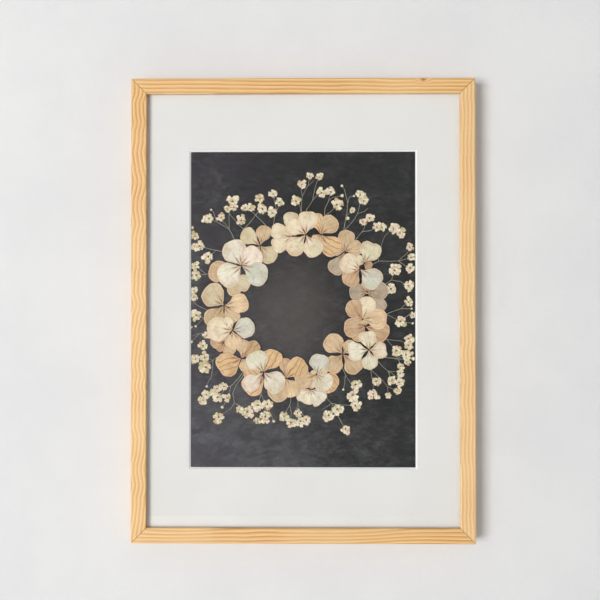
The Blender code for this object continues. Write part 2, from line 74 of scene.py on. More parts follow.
aim = Vector((frame_middle[0] + AIM_OFFSET[0], frame_low[1], frame_middle[2] + AIM_OFFSET[1]))
camera = bpy.data.objects.new("camera", bpy.data.cameras.new("camera"))
bpy.context.scene.collection.objects.link(camera)
camera.data.sensor_width = SENSOR_WIDTH
camera.data.lens = SENSOR_WIDTH * VIEW_DISTANCE / VIEW_WIDTH
camera.data.clip_start = 0.01
camera.location = aim + Vector((CAMERA_OFFSET[0], -VIEW_DISTANCE, CAMERA_OFFSET[1]))
camera.rotation_euler = (aim - camera.location).to_track_quat("-Z", "Y").to_euler()
bpy.context.scene.camera = camera
bpy.context.scene.view_settings.view_transform = "Standard"
bpy.context.scene.view_settings.look = "None"


# A wall of pale painted plaster, trowelled slightly uneven, that the frame hangs on, and a pale floor well
# below. The wall is one-sided, so the frame's back can be seen from behind it.
def linear(red, green, blue):
    """A colour given in display values from 0 to 255, as linear light with full opacity."""
    shares = np.array((red, green, blue)) / 255
    light = np.where(shares <= 0.04045, shares / 12.92, ((shares + 0.055) / 1.055) ** 2.4)
    return (*light.tolist(), 1.0)


def new_material(name):
    material = bpy.data.materials.new(name)
    material.use_nodes = True
    return material, material.node_tree, material.node_tree.nodes["Principled BSDF"]


def add(tree, kind, inputs, **settings):
    """Adds a node. Each input is a plain value or another node's output socket."""
    node = tree.nodes.new("ShaderNode" + kind)
    for key, value in settings.items():
        setattr(node, key, value)
    for key, value in inputs.items():
        if isinstance(value, bpy.types.NodeSocket):
            tree.links.new(value, node.inputs[key])
        else:
            node.inputs[key].default_value = value
    return node


def math_node(tree, operation, first, second=0.0, third=0.0):
    inputs = {0: first, 1: second, 2: third}
    return add(tree, "Math", inputs, operation=operation).outputs[0]


def mix_colour(tree, factor, first, second, blend="MIX"):
    node = add(tree, "Mix", {0: factor, 6: first, 7: second}, data_type="RGBA", blend_type=blend)
    return node.outputs[2]


def between(tree, value, low, high, to_low=0.0, to_high=1.0):
    """Runs smoothly from to_low to to_high as value runs from low to high."""
    inputs = {"Value": value, "From Min": low, "From Max": high, "To Min": to_low, "To Max": to_high}
    return add(tree, "MapRange", inputs, interpolation_type="SMOOTHSTEP").outputs[0]


def noise(tree, place, scale, detail=3.0, rough=0.55, distortion=0.0):
    inputs = {"Vector": place, "Scale": scale, "Detail": detail, "Roughness": rough}
    inputs["Distortion"] = distortion
    return add(tree, "TexNoise", inputs).outputs["Fac"]


def object_place(tree, scale=(1, 1, 1), turn=(0, 0, 0), shift=(0, 0, 0)):
    """The place on the object in metres, scaled, then turned, then shifted."""
    place = add(tree, "TexCoord", {}).outputs["Object"]
    inputs = {"Vector": place, "Location": shift, "Rotation": turn, "Scale": scale}
    return add(tree, "Mapping", inputs).outputs[0]


def bump(tree, shader, height, distance, strength=1.0):
    node = add(tree, "Bump", {"Height": height, "Distance": distance, "Strength": strength})
    tree.links.new(node.outputs[0], shader.inputs["Normal"])


def plain_sheet(name, corners, material):
    mesh = bpy.data.meshes.new(name)
    mesh.from_pydata(corners, [], [tuple(range(len(corners)))])
    mesh.materials.append(material)
    sheet = bpy.data.objects.new(name, mesh)
    bpy.context.scene.collection.objects.link(sheet)
    return sheet


plaster, tree, shader = new_material("pale_plaster")
place = object_place(tree)
patches = noise(tree, place, 9.0, 4.0)
tone = mix_colour(tree, between(tree, patches, 0.3, 0.7), linear(221, 221, 222), linear(226, 226, 226))
tree.links.new(tone, shader.inputs["Base Color"])
shader.inputs["Roughness"].default_value = 0.9
shader.inputs["Specular IOR Level"].default_value = 0.2
bump(tree, shader, noise(tree, place, 60.0, 5.0, 0.6), 0.0016, 0.35)
seen_behind = add(tree, "NewGeometry", {}).outputs["Backfacing"]
see_through = add(tree, "BsdfTransparent", {}).outputs[0]
one_sided = add(tree, "MixShader", {0: seen_behind, 1: shader.outputs[0], 2: see_through}).outputs[0]
tree.links.new(one_sided, tree.nodes["Material Output"].inputs["Surface"])

WALL_Y = 0.0004
FLOOR_Z = -1.25
REACH = 4.0
wall = plain_sheet(
    "stage_wall",
    [(-REACH, WALL_Y, FLOOR_Z), (REACH, WALL_Y, FLOOR_Z), (REACH, WALL_Y, REACH), (-REACH, WALL_Y, REACH)],
    plaster,
)
wall.visible_shadow = False

floor_paint, tree, shader = new_material("pale_floor")
speckle = noise(tree, object_place(tree), 40.0, 3.0)
tone = mix_colour(tree, speckle, linear(214, 212, 209), linear(222, 220, 217))
tree.links.new(tone, shader.inputs["Base Color"])
shader.inputs["Roughness"].default_value = 0.85
plain_sheet(
    "stage_floor",
    [(-REACH, -REACH, FLOOR_Z), (REACH, -REACH, FLOOR_Z), (REACH, REACH, FLOOR_Z), (-REACH, REACH, FLOOR_Z)],
    floor_paint,
)


# Soft daylight from a tall window at the lower left, the room's own pale light, and a weak light behind the
# wall for the frame's back. The room's light isn't mirrored, so that the dark card stays clear.
ROOM_TINT = (0.96, 0.985, 1.0, 1.0)
ROOM_LIGHT = 0.41


def soft_light(name, place, width, height, watts, tint):
    lamp = bpy.data.lights.new(name, "AREA")
    lamp.shape = "RECTANGLE"
    lamp.size = width
    lamp.size_y = height
    lamp.energy = watts
    lamp.color = tint
    light = bpy.data.objects.new(name, lamp)
    light.location = place
    aimed = Vector(frame_middle) - Vector(place)
    light.rotation_euler = aimed.to_track_quat("-Z", "Y").to_euler()
    bpy.context.scene.collection.objects.link(light)


soft_light(
    "window_light", place=(-2.35, -4.1, -0.85), width=1.8, height=2.6, watts=240.0, tint=(1.0, 0.992, 0.984)
)
soft_light("back_light", place=(0.9, 1.9, 0.7), width=1.2, height=1.2, watts=22.0, tint=(1.0, 1.0, 1.0))
world = bpy.data.worlds.new("room")
world.use_nodes = True
world.node_tree.nodes["Background"].inputs[0].default_value = ROOM_TINT
world.node_tree.nodes["Background"].inputs[1].default_value = ROOM_LIGHT
world.cycles_visibility.glossy = False
bpy.context.scene.world = world


# Four lengths of slim pine moulding with eased edges, mitred and glued at the corners, under a clear matt
# lacquer. Each is cut from its own plank, so its growth rings run their own way. The right stile is painted
# paler, as painted light, so that it looks as brightly lit as the left one.
RING_SPACING = 0.0031
FINE_DRIFT = 0.0022
KNOT = (0.1085, 0.0282)  # a pin knot near the top rail's upper edge, x and z
KNOT_SQUASH = 1.5
KNOT_HEART = 0.0030
KNOT_REACH = 0.010
KNOT_PUSH = 0.0040
EARLY_WOOD = linear(240, 197, 136)
LATE_WOOD = linear(202, 146, 80)


def finish_node(name, material):
    cad_nodes[name].material_slots[0].material = material


def vector_length(tree, vector):
    return add(tree, "VectorMath", {0: vector}, operation="LENGTH").outputs["Value"]


def pine(name, upright, seed, slope, drift, pith, painted_light=0.0):
    """Growth rings are cylinders about a pith line outside the bar. The ring number at a point is its
    distance from that line over the ring spacing, once the plank's slope, slow noise and the knot have moved
    the point across the grain. Dark late wood ends each ring."""
    material, tree, shader = new_material(name)
    turn = (0, math.radians(90), 0) if upright else (0, 0, 0)
    bar = object_place(tree, turn=turn, shift=(seed * 1.7, 0, seed * 0.9))
    slow = noise(tree, object_place(tree, turn=turn, scale=(5, 20, 20), shift=(seed, 0, 0)), 1.0, 2.0)
    finer = noise(tree, object_place(tree, turn=turn, scale=(22, 60, 60), shift=(0, seed, 0)), 1.0, 2.0)
    parts = add(tree, "SeparateXYZ", {"Vector": object_place(tree, turn=turn)}).outputs
    across = math_node(tree, "MULTIPLY_ADD", parts["X"], slope, parts["Z"])
    across = math_node(tree, "MULTIPLY_ADD", slow, drift, across)
    across = math_node(tree, "MULTIPLY_ADD", finer, FINE_DRIFT, across)
    to_knot = (-KNOT[0], 0, -KNOT_SQUASH * KNOT[1])
    knot = vector_length(tree, object_place(tree, scale=(1, 0, KNOT_SQUASH), shift=to_knot))
    across = math_node(tree, "ADD", across, between(tree, knot, KNOT_REACH, 0.0, 0.0, KNOT_PUSH))
    across = math_node(tree, "SUBTRACT", across, pith[0])
    depth = math_node(tree, "SUBTRACT", parts["Y"], pith[1])
    squares = [math_node(tree, "MULTIPLY", side, side) for side in (across, depth)]
    radius = math_node(tree, "SQRT", math_node(tree, "ADD", *squares))
    ring = math_node(tree, "FRACT", math_node(tree, "DIVIDE", radius, RING_SPACING))
    late = math_node(tree, "MULTIPLY", between(tree, ring, 0.15, 0.86), between(tree, ring, 1.0, 0.9))
    fibre = noise(tree, object_place(tree, turn=turn, scale=(26, 1100, 1100)), 1.0, 3.0, 0.6)
    streak = noise(tree, object_place(tree, turn=turn, scale=(5, 260, 260), shift=(seed, 0, 0)), 1.0, 2.0)
    tone = mix_colour(tree, late, EARLY_WOOD, LATE_WOOD)
    tone = mix_colour(tree, between(tree, streak, 0.45, 0.8, 0.0, 0.5), tone, linear(226, 180, 116))
    tone = mix_colour(tree, between(tree, fibre, 0.35, 0.75, 0.0, 0.26), tone, linear(206, 152, 84))
    patch = noise(tree, bar, 14.0, 2.0)
    tone = mix_colour(tree, between(tree, patch, 0.35, 0.7, 0.0, 0.35), tone, linear(244, 208, 152))
    # Painted light: a share of a paler tone, given only to the right stile so it looks as brightly lit as
    # the left
    tone = mix_colour(tree, painted_light, tone, linear(253, 224, 180))
    heart = between(tree, knot, KNOT_HEART, 0.3 * KNOT_HEART, 0.0, 0.8)
    tone = mix_colour(tree, heart, tone, linear(160, 98, 48))
    tree.links.new(tone, shader.inputs["Base Color"])
    shader.inputs["Roughness"].default_value = 0.48
    shader.inputs["Coat Weight"].default_value = 0.12
    shader.inputs["Coat Roughness"].default_value = 0.35
    relief = math_node(tree, "MULTIPLY_ADD", late, 0.6, fibre)
    bump(tree, shader, relief, 0.00012, 0.5)
    return material


finish_node("top_rail", pine(
    "pine_top", upright=False, seed=0.3, slope=0.006, drift=0.006, pith=(0.14, 0.02)))
finish_node("bottom_rail", pine(
    "pine_bottom", upright=False, seed=2.1, slope=-0.016, drift=0.014, pith=(-0.46, 0.02)))
finish_node("left_stile", pine(
    "pine_left", upright=True, seed=4.4, slope=0.045, drift=0.02, pith=(0.22, 0.015)))
# The right stile's paler tone is painted light
finish_node("right_stile", pine(
    "pine_right", upright=True, seed=6.2, slope=-0.01, drift=0.008, pith=(-0.26, 0.03), painted_light=0.26))


# A pane of clear picture glass, cut to lie in the rebate behind the moulding's lip. A real pane lets nearly
# all light through, so its shadow and its part in bounced light are left out.
clear, tree, shader = new_material("clear_picture_glass")
shader.inputs["Base Color"].default_value = (0.995, 1.0, 0.998, 1.0)
shader.inputs["Roughness"].default_value = 0.0
shader.inputs["IOR"].default_value = 1.5
shader.inputs["Transmission Weight"].default_value = 1.0
finish_node("glass", clear)
cad_nodes["glass"].visible_shadow = False
cad_nodes["glass"].visible_diffuse = False


# Window mat: a board of off-white textured paper over a white core, laid behind the glass. The core shows as
# a thin line where the window is cut at a slant.
FLAT_FACING = 0.9

mat_board, tree, shader = new_material("mat_board")
place = object_place(tree)
fibres = noise(tree, place, 900.0, 4.0, 0.7)
cloud = noise(tree, place, 18.0, 3.0)
paper = mix_colour(tree, between(tree, cloud, 0.3, 0.7), linear(229, 228, 225), linear(233, 232, 230))
paper = mix_colour(tree, between(tree, fibres, 0.35, 0.8, 0.0, 0.5), paper, linear(221, 219, 215))
facing = add(tree, "SeparateXYZ", {"Vector": add(tree, "NewGeometry", {}).outputs["Normal"]}).outputs["Y"]
slanted = math_node(tree, "LESS_THAN", math_node(tree, "ABSOLUTE", facing), FLAT_FACING)
core = mix_colour(tree, fibres, linear(250, 250, 249), linear(244, 244, 243))
tree.links.new(mix_colour(tree, slanted, paper, core), shader.inputs["Base Color"])
shader.inputs["Roughness"].default_value = 0.92
shader.inputs["Specular IOR Level"].default_value = 0.25
bump(tree, shader, fibres, 0.00012, 0.5)
finish_node("window_mat", mat_board)


# The card the flowers are glued to, behind the mat: matt black paper, clouded with chalky smudges where it
# was handled. A grey haze at its lower left, violet in patches on the left, and a pinkish-brown smear inside
# the wreath are painted reflections in the glass.
# The middle and squash of a painted reflection in the glass: a pinkish-brown smear inside the wreath
REFLECTION_SMEAR_MIDDLE = (-0.008, -0.1825)
REFLECTION_SMEAR_SQUASH = 0.8

black_card, tree, shader = new_material("black_card_chalky_painted_reflection")
place = object_place(tree)
smudge = noise(tree, place, 26.0, 5.0, 0.62, 0.6)
patch = noise(tree, object_place(tree, turn=(0, 0.5, 0), scale=(0.8, 1, 1)), 95.0, 5.0, 0.7, 0.3)
fine = noise(tree, object_place(tree, turn=(0, -0.6, 0), scale=(0.5, 1, 1)), 330.0, 5.0, 0.75, 0.3)
grit = noise(tree, place, 1300.0, 3.0, 0.7)
parts = add(tree, "SeparateXYZ", {"Vector": place}).outputs
slant = math_node(tree, "MULTIPLY_ADD", parts["X"], -1.0, math_node(tree, "MULTIPLY", parts["Z"], -0.55))
# Painted reflection: a grey veil where the glass mirrors the window, rising towards the lower left
painted_reflection_haze = between(tree, slant, 0.04, 0.26)
to_reflection_smear = (-REFLECTION_SMEAR_MIDDLE[0], 0, -REFLECTION_SMEAR_SQUASH * REFLECTION_SMEAR_MIDDLE[1])
smear_distance = vector_length(tree, object_place(tree, scale=(1, 0, REFLECTION_SMEAR_SQUASH), shift=to_reflection_smear))
# Painted reflection: the smear fades out from its middle, ragged at its edge
painted_reflection_smear = between(tree, math_node(tree, "MULTIPLY_ADD", smudge, 0.03, smear_distance), 0.075, 0.022)
# The chalky smudges, with the painted reflection haze added in
chalk_and_painted_reflection = math_node(tree, "MULTIPLY_ADD", between(tree, smudge, 0.35, 0.75), 0.4, painted_reflection_haze)
chalk_and_painted_reflection = math_node(tree, "MULTIPLY_ADD", between(tree, patch, 0.34, 0.68), 0.36, chalk_and_painted_reflection)
chalk_and_painted_reflection = math_node(tree, "MULTIPLY_ADD", between(tree, fine, 0.38, 0.68), 0.50, chalk_and_painted_reflection)
tone = mix_colour(tree, between(tree, chalk_and_painted_reflection, 0.15, 2.6), linear(15, 15, 14), linear(99, 98, 102))
# Painted reflection: a violet cast in patches on the left side of the card
left_side = between(tree, parts["X"], 0.02, -0.08)
painted_reflection_violet = math_node(tree, "MULTIPLY", left_side, between(tree, patch, 0.62, 0.40))
tone = mix_colour(tree, math_node(tree, "MULTIPLY", painted_reflection_violet, 0.5), tone, linear(60, 52, 62))
tone = mix_colour(tree, math_node(tree, "MULTIPLY", painted_reflection_smear, 0.45), tone, linear(98, 91, 86))
tone = mix_colour(tree, between(tree, grit, 0.5, 0.85, 0.0, 0.25), tone, linear(84, 84, 85))
tree.links.new(tone, shader.inputs["Base Color"])
shader.inputs["Roughness"].default_value = 0.88
shader.inputs["Specular IOR Level"].default_value = 0.3
bump(tree, shader, math_node(tree, "ADD", grit, fine), 0.00012, 0.45)
finish_node("mount_card", black_card)


# Backing board: thin hardboard of pressed brown wood fibres, a little darker in patches. It closes the
# rebate from behind and carries the hanger.
hardboard, tree, shader = new_material("hardboard_fibres")
place = object_place(tree)
strands = noise(tree, object_place(tree, scale=(1, 1, 3)), 420.0, 5.0, 0.75, 1.5)
cloud = noise(tree, place, 22.0, 4.0)
tone = mix_colour(tree, between(tree, strands, 0.3, 0.72), linear(128, 94, 64), linear(170, 133, 96))
tone = mix_colour(tree, between(tree, cloud, 0.35, 0.7, 0.0, 0.4), tone, linear(120, 88, 60))
tree.links.new(tone, shader.inputs["Base Color"])
shader.inputs["Roughness"].default_value = 0.8
bump(tree, shader, strands, 0.0002, 0.6)
finish_node("backing_board", hardboard)


# Retaining points driven into the rebate, and the toothed hanger with the two rivets that hold it to the
# board: all stamped from zinc plated steel, dulled and faintly scratched.
zinc, tree, shader = new_material("zinc_plated_steel_worn")
scratches = noise(tree, object_place(tree, scale=(120, 900, 2600)), 1.0, 3.0, 0.7)
bloom = noise(tree, object_place(tree), 380.0, 3.0)
tone = mix_colour(tree, between(tree, bloom, 0.3, 0.7), linear(176, 176, 172), linear(206, 207, 205))
tree.links.new(tone, shader.inputs["Base Color"])
tree.links.new(between(tree, scratches, 0.3, 0.75, 0.28, 0.5), shader.inputs["Roughness"])
shader.inputs["Metallic"].default_value = 1.0
bump(tree, shader, scratches, 0.00005, 0.4)
for node_name in cad_nodes:
    if node_name.startswith(("retaining_point", "hanger_rivet", "sawtooth_hanger")):
        finish_node(node_name, zinc)


# Hydrangea florets: papery sepals that taper to a claw at the middle, pressed flat over each other, with a
# small dried star of stamens. Each floret is one grown piece, glued to the card by hand.
WREATH_OFFSET = (-0.0064, 0, 0.0029)
card_low, card_high = (np.array(corner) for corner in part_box("mount_card"))
wreath_middle = (card_low + card_high) / 2 + WREATH_OFFSET
WINDOW_HALF = 0.1017  # a petal that reaches the mat ends at the window's edge
MM = 0.001
FULL_TURN = 6.28
SHEET = 0.12 * MM
RIM_LIGHT = (0.90, 0.87, 0.80, 1.0)
LEAST_STAND = 0.05
# Bumps round a sepal's edge: how many, and their height as a share of its radius. Then the two shoulders
# beside its tip and the shallow notch between them: place and spread in radians, and height.
OUTLINE_WAVES = ((2, 0.022), (3, 0.026), (4, 0.016), (6, 0.014), (9, 0.009), (14, 0.008), (19, 0.006))
SHOULDER = 0.95
SHOULDER_SPREAD = 0.40
TIP_SPREAD = 0.45
SHOULDER_SIZE = 0.05
CLAW_BREADTH = 0.36
# In mm: the fanned ridges' height, the wrinkles' heights and lengths, and the height of the curled rim
RIDGE = 0.030
WRINKLES = ((0.022, 9.0), (0.016, 5.0), (0.010, 3.2))
CURL = 0.035

TONES = {
    "white": (230, 221, 198),
    "bluish": (212, 211, 198),
    "cream": (234, 220, 194),
    "ivory": (229, 223, 206),
    "pinkish": (233, 219, 204),
    "greenish": (222, 213, 186),
    "olive": (213, 199, 168),
    "olive_tan": (210, 187, 150),
    "peach": (224, 200, 165),
    "orange": (220, 187, 144),
    "tan": (210, 184, 150),
    "rose_tan": (204, 174, 140),
    "brown_tan": (190, 158, 120),
    "grey": (178, 162, 142),
    "mauve": (188, 170, 150),
    "heart": (92, 46, 22),
    "petal": (236, 230, 208),
    "petal_pink": (232, 212, 196),
    "petal_tan": (214, 186, 144),
    "petal_green": (206, 206, 158),
    "calyx": (178, 174, 112),
    "stem": (178, 178, 158),
}


def disc_sheet(middle, y, bearing, reach, width, tone, seed, lift=0.0, rings=9, spokes=44, rough=1.0,
               swell=1.0, thick=SHEET, claw=0.0):
    """A thin closed sheet on a polar grid. Its outline is a circle as wide as the sepal with the two
    tangents drawn back to the claw, so the radius is constant round the tip and R / cos(angle from the
    tangent point) towards the claw, times one plus small waves, and drawn in over the claw's share of the
    reach. The relief adds ridges that fan out from the claw, slanted wrinkles and a lift that grows with the
    distance from the claw. Front and back share the rim."""
    draw = np.random.default_rng(seed)
    radius = width / 2
    stand = max(reach - radius, LEAST_STAND * reach)
    turn = np.arange(spokes) * 2 * np.pi / spokes
    from_claw = np.pi - np.abs(np.where(turn > np.pi, turn - 2 * np.pi, turn))
    rim = np.full(spokes, radius)
    if stand > radius:
        tangent = np.pi / 2 - math.asin(radius / stand)
        near = from_claw < tangent
        rim[near] = radius / np.cos(from_claw[near] - tangent)
        rim[near] *= 1 - 0.05 * np.sin(np.pi * from_claw[near] / tangent) ** 2
    waves = sum(
        size * rough * np.cos(count * turn + draw.uniform(0, FULL_TURN)) for count, size in OUTLINE_WAVES
    )
    from_tip = np.pi - from_claw
    shoulders = np.exp(-(((from_tip - SHOULDER) / SHOULDER_SPREAD) ** 2))
    notch = np.exp(-((from_tip / TIP_SPREAD) ** 2))
    waves = waves + SHOULDER_SIZE * rough * (shoulders - notch)
    rim = rim * (1 + waves * np.clip(from_claw / 0.8 - 0.3, 0, 1))
    share = (np.arange(1, rings + 1) / rings)[:, None]
    along = stand + share * rim * np.cos(turn)
    across = share * rim * np.sin(turn)
    near_claw = np.clip(along / (claw * reach), 0, 1) if claw else 1.0
    across = across * (CLAW_BREADTH + (1 - CLAW_BREADTH) * near_claw)
    along = np.concatenate([[stand], along.ravel()])
    across = np.concatenate([[0.0], across.ravel()])
    share = np.concatenate([[0.0], np.repeat(share.ravel(), spokes)])

    far = np.hypot(along, across) / reach
    fan = np.arctan2(across, along + 0.15 * reach)
    ridges = np.cos(draw.uniform(13, 19) * fan + draw.uniform(0, FULL_TURN))
    relief = RIDGE * swell * ridges * np.clip(far, 0, 1)
    for size, length in WRINKLES:
        slope = draw.uniform(0, FULL_TURN)
        line = along * math.cos(slope) + across * math.sin(slope)
        relief += size * swell * np.sin(FULL_TURN * line / (length * MM) + draw.uniform(0, FULL_TURN))
    round_rim = np.arctan2(across, along - stand)
    relief += CURL * swell * share**5 * np.cos(3 * round_rim + draw.uniform(0, FULL_TURN))
    relief += lift * far
    body = thick / 2 * (1 - share**6)

    angle = math.radians(bearing)
    x = middle[0] + along * math.cos(angle) - across * math.sin(angle)
    z = middle[1] + along * math.sin(angle) + across * math.cos(angle)
    level = y - relief * MM
    count = 1 + (rings - 1) * spokes
    front = np.stack([x, level - body, z], 1)
    back = np.stack([x, level + body, z], 1)[:count]
    points = np.concatenate([front, back])
    back_start = len(front)

    spoke = np.arange(spokes)
    after = (spoke + 1) % spokes
    ring = 1 + np.arange(rings - 1)[:, None] * spokes
    inner, inner_after = (ring + spoke).ravel(), (ring + after).ravel()
    outer, outer_after = inner + spokes, inner_after + spokes
    front_fan = np.stack([np.zeros(spokes, int), 1 + spoke, 1 + after], 1)
    front_quads = np.stack([inner, outer, outer_after, inner_after], 1)

    def behind(index):
        return np.where(index < count, index + back_start, index)

    fans = np.concatenate([front_fan, behind(front_fan)[:, ::-1]])
    quads = np.concatenate([front_quads, behind(front_quads)[:, ::-1]])

    tint = np.tile(linear(*TONES[tone]), (len(front), 1))
    tint[:, :3] *= draw.uniform(0.95, 1.03)
    browned = np.clip((TONES[tone][0] - TONES[tone][2] - 50) / 26, 0.1, 1)
    own = np.tile((draw.uniform(0, 1), browned), (len(front), 1))
    leaf = np.column_stack([along / reach, across / reach, share, own])
    tint = np.concatenate([tint, tint[:count]])
    leaf = np.concatenate([leaf, leaf[:count]])
    return points, fans, quads, leaf, tint


def join_sheets(name, sheets, material):
    """One mesh of several sheets. Its attributes are leaf (along, across, rim share), own (a number that
    differs from sheet to sheet, and how far the sheet has browned) and the tint."""
    points, fans, quads, leaf, tint, start = [], [], [], [], [], 0
    for sheet in sheets:
        points.append(sheet[0])
        fans.append(sheet[1] + start)
        quads.append(sheet[2] + start)
        leaf.append(sheet[3])
        tint.append(sheet[4])
        start += len(sheet[0])
    points = np.concatenate(points)
    points[:, 0] = np.clip(points[:, 0], -WINDOW_HALF, WINDOW_HALF)
    mesh = bpy.data.meshes.new(name)
    faces = np.concatenate(fans).tolist() + np.concatenate(quads).tolist()
    mesh.from_pydata(points.tolist(), [], faces)
    mesh.polygons.foreach_set("use_smooth", np.ones(len(mesh.polygons), bool))
    ends = np.empty(2 * len(mesh.edges), np.int32)
    mesh.edges.foreach_get("vertices", ends)
    leaf = np.concatenate(leaf).astype(np.float32)
    on_rim = leaf[:, 2] > 0.999
    mesh.edges.foreach_set("use_edge_sharp", on_rim[ends.reshape(-1, 2)].all(1))
    own = np.column_stack([leaf[:, 3:], np.zeros(len(leaf), np.float32)])
    mesh.attributes.new("leaf", "FLOAT_VECTOR", "POINT").data.foreach_set("vector", leaf[:, :3].ravel())
    mesh.attributes.new("own", "FLOAT_VECTOR", "POINT").data.foreach_set("vector", own.ravel())
    mesh.attributes.new("tint", "FLOAT_COLOR", "POINT").data.foreach_set(
        "color", np.concatenate(tint).astype(np.float32).ravel()
    )
    mesh.materials.append(material)
    piece = bpy.data.objects.new(name, mesh)
    bpy.context.scene.collection.objects.link(piece)
    return piece


def papery(name, veins, claw_strength, rim_strength):
    """Dried sepal. Veins fan out from the claw, which is stained brown along them, and a fine net lies
    between them. Smudges and hue wander over the blade, and creases over a browned one. The margin is a
    little brown with a pale line inside it. The very edge is darker, partly a browned edge and partly
    painted shade where one sepal lies over another. All of it follows the leaf attribute and the sheet's
    number."""
    material, tree, shader = new_material(name)
    leaf = add(tree, "Attribute", {}, attribute_name="leaf").outputs["Vector"]
    tint = add(tree, "Attribute", {}, attribute_name="tint").outputs["Color"]
    own = add(tree, "Attribute", {}, attribute_name="own").outputs["Vector"]
    own_parts = add(tree, "SeparateXYZ", {"Vector": own}).outputs
    number, browned = own_parts["X"], own_parts["Y"]
    shift = add(tree, "CombineXYZ", {"Y": number}).outputs[0]
    place = add(tree, "VectorMath", {0: object_place(tree), 1: shift}).outputs[0]
    parts = add(tree, "SeparateXYZ", {"Vector": leaf}).outputs
    wander = noise(tree, place, 120.0, 3.0)
    angle = math_node(tree, "ARCTAN2", parts["Y"], math_node(tree, "ADD", parts["X"], 0.04))
    angle = math_node(tree, "MULTIPLY_ADD", wander, 0.22, angle)
    flat_leaf = add(tree, "CombineXYZ", {"X": parts["X"], "Y": parts["Y"]}).outputs[0]
    far = vector_length(tree, flat_leaf)
    phase = math_node(tree, "MULTIPLY_ADD", number, 3.1, math_node(tree, "MULTIPLY", angle, veins))
    wave = math_node(tree, "ABSOLUTE", math_node(tree, "SINE", phase))
    line = between(tree, wave, 0.34, 0.0)
    fine_phase = math_node(tree, "MULTIPLY", phase, 2.7)
    fine_wave = math_node(tree, "ABSOLUTE", math_node(tree, "SINE", fine_phase))
    fine_line = between(tree, fine_wave, 0.5, 0.0)
    fine_line = math_node(tree, "MULTIPLY", fine_line, between(tree, far, 0.25, 0.6))
    cells = add(tree, "TexVoronoi", {"Vector": place, "Scale": 520.0}, feature="DISTANCE_TO_EDGE")
    net = between(tree, cells.outputs["Distance"], 0.12, 0.0)
    cloud = noise(tree, place, 95.0, 4.0, 0.6)
    smudge = noise(tree, place, 170.0, 3.0, 0.6, 0.8)
    hue = noise(tree, place, 62.0, 3.0)
    fleck = noise(tree, place, 430.0, 3.0, 0.7)
    slope = math_node(tree, "SUBTRACT", number, 0.5)
    slanted = math_node(tree, "MULTIPLY_ADD", parts["X"], slope, parts["Y"])
    bend = math_node(tree, "MULTIPLY", noise(tree, place, 75.0), 6.0)
    folds = math_node(tree, "MULTIPLY_ADD", slanted, 15.0, bend)
    crease = between(tree, math_node(tree, "ABSOLUTE", math_node(tree, "SINE", folds)), 0.42, 0.05)
    stain_and_edge_shade = mix_colour(tree, 1.0, tint, (0.78, 0.58, 0.38, 1.0), "MULTIPLY")
    bruise = mix_colour(tree, 1.0, tint, (0.74, 0.64, 0.62, 1.0), "MULTIPLY")
    green = mix_colour(tree, 1.0, tint, (0.93, 0.99, 0.86, 1.0), "MULTIPLY")
    blush = mix_colour(tree, 1.0, tint, (1.04, 0.96, 0.94, 1.0), "MULTIPLY")
    glow = mix_colour(tree, 1.0, tint, (1.15, 1.15, 1.13, 1.0), "MULTIPLY")
    tone = mix_colour(tree, between(tree, cloud, 0.34, 0.66), glow, tint)
    tone = mix_colour(tree, between(tree, hue, 0.52, 0.70, 0.0, 0.8), tone, green)
    tone = mix_colour(tree, between(tree, hue, 0.46, 0.30, 0.0, 0.8), tone, blush)
    tone = mix_colour(tree, between(tree, cloud, 0.50, 0.70, 0.0, 0.5), tone, stain_and_edge_shade)
    tone = mix_colour(tree, between(tree, smudge, 0.56, 0.72, 0.0, 0.6), tone, bruise)
    fade = between(tree, far, 1.0, 0.1, 0.12, 0.45)
    fade = math_node(tree, "MULTIPLY", fade, math_node(tree, "MULTIPLY_ADD", browned, 0.4, 0.7))
    tone = mix_colour(tree, math_node(tree, "MULTIPLY", line, fade), tone, stain_and_edge_shade)
    tone = mix_colour(tree, math_node(tree, "MULTIPLY", fine_line, 0.16), tone, stain_and_edge_shade)
    tone = mix_colour(tree, math_node(tree, "MULTIPLY", net, 0.22), tone, stain_and_edge_shade)
    tone = mix_colour(tree, between(tree, fleck, 0.64, 0.78, 0.0, 0.5), tone, stain_and_edge_shade)
    creased = math_node(tree, "MULTIPLY", crease, math_node(tree, "MULTIPLY", browned, 0.85))
    furrow = mix_colour(tree, 1.0, tint, (0.66, 0.44, 0.26, 1.0), "MULTIPLY")
    tone = mix_colour(tree, creased, tone, furrow)
    base = between(tree, far, 0.38, 0.05, 0.0, 0.7)
    tone = mix_colour(tree, math_node(tree, "MULTIPLY", base, claw_strength), tone, stain_and_edge_shade)
    claw = between(tree, far, 0.50, 0.12)
    claw = math_node(tree, "MULTIPLY", claw, between(tree, wave, 0.85, 0.20))
    tone = mix_colour(tree, math_node(tree, "MULTIPLY", claw, claw_strength), tone, linear(126, 64, 28))
    margin = between(tree, parts["Z"], 0.66, 0.90)
    margin = math_node(tree, "MULTIPLY", margin, between(tree, cloud, 0.35, 0.6, 0.1, 0.5))
    tone = mix_colour(tree, margin, tone, stain_and_edge_shade)
    pale_line = between(tree, parts["Z"], 0.85, 0.93, 0.0, rim_strength)
    tone = mix_colour(tree, pale_line, tone, RIM_LIGHT)
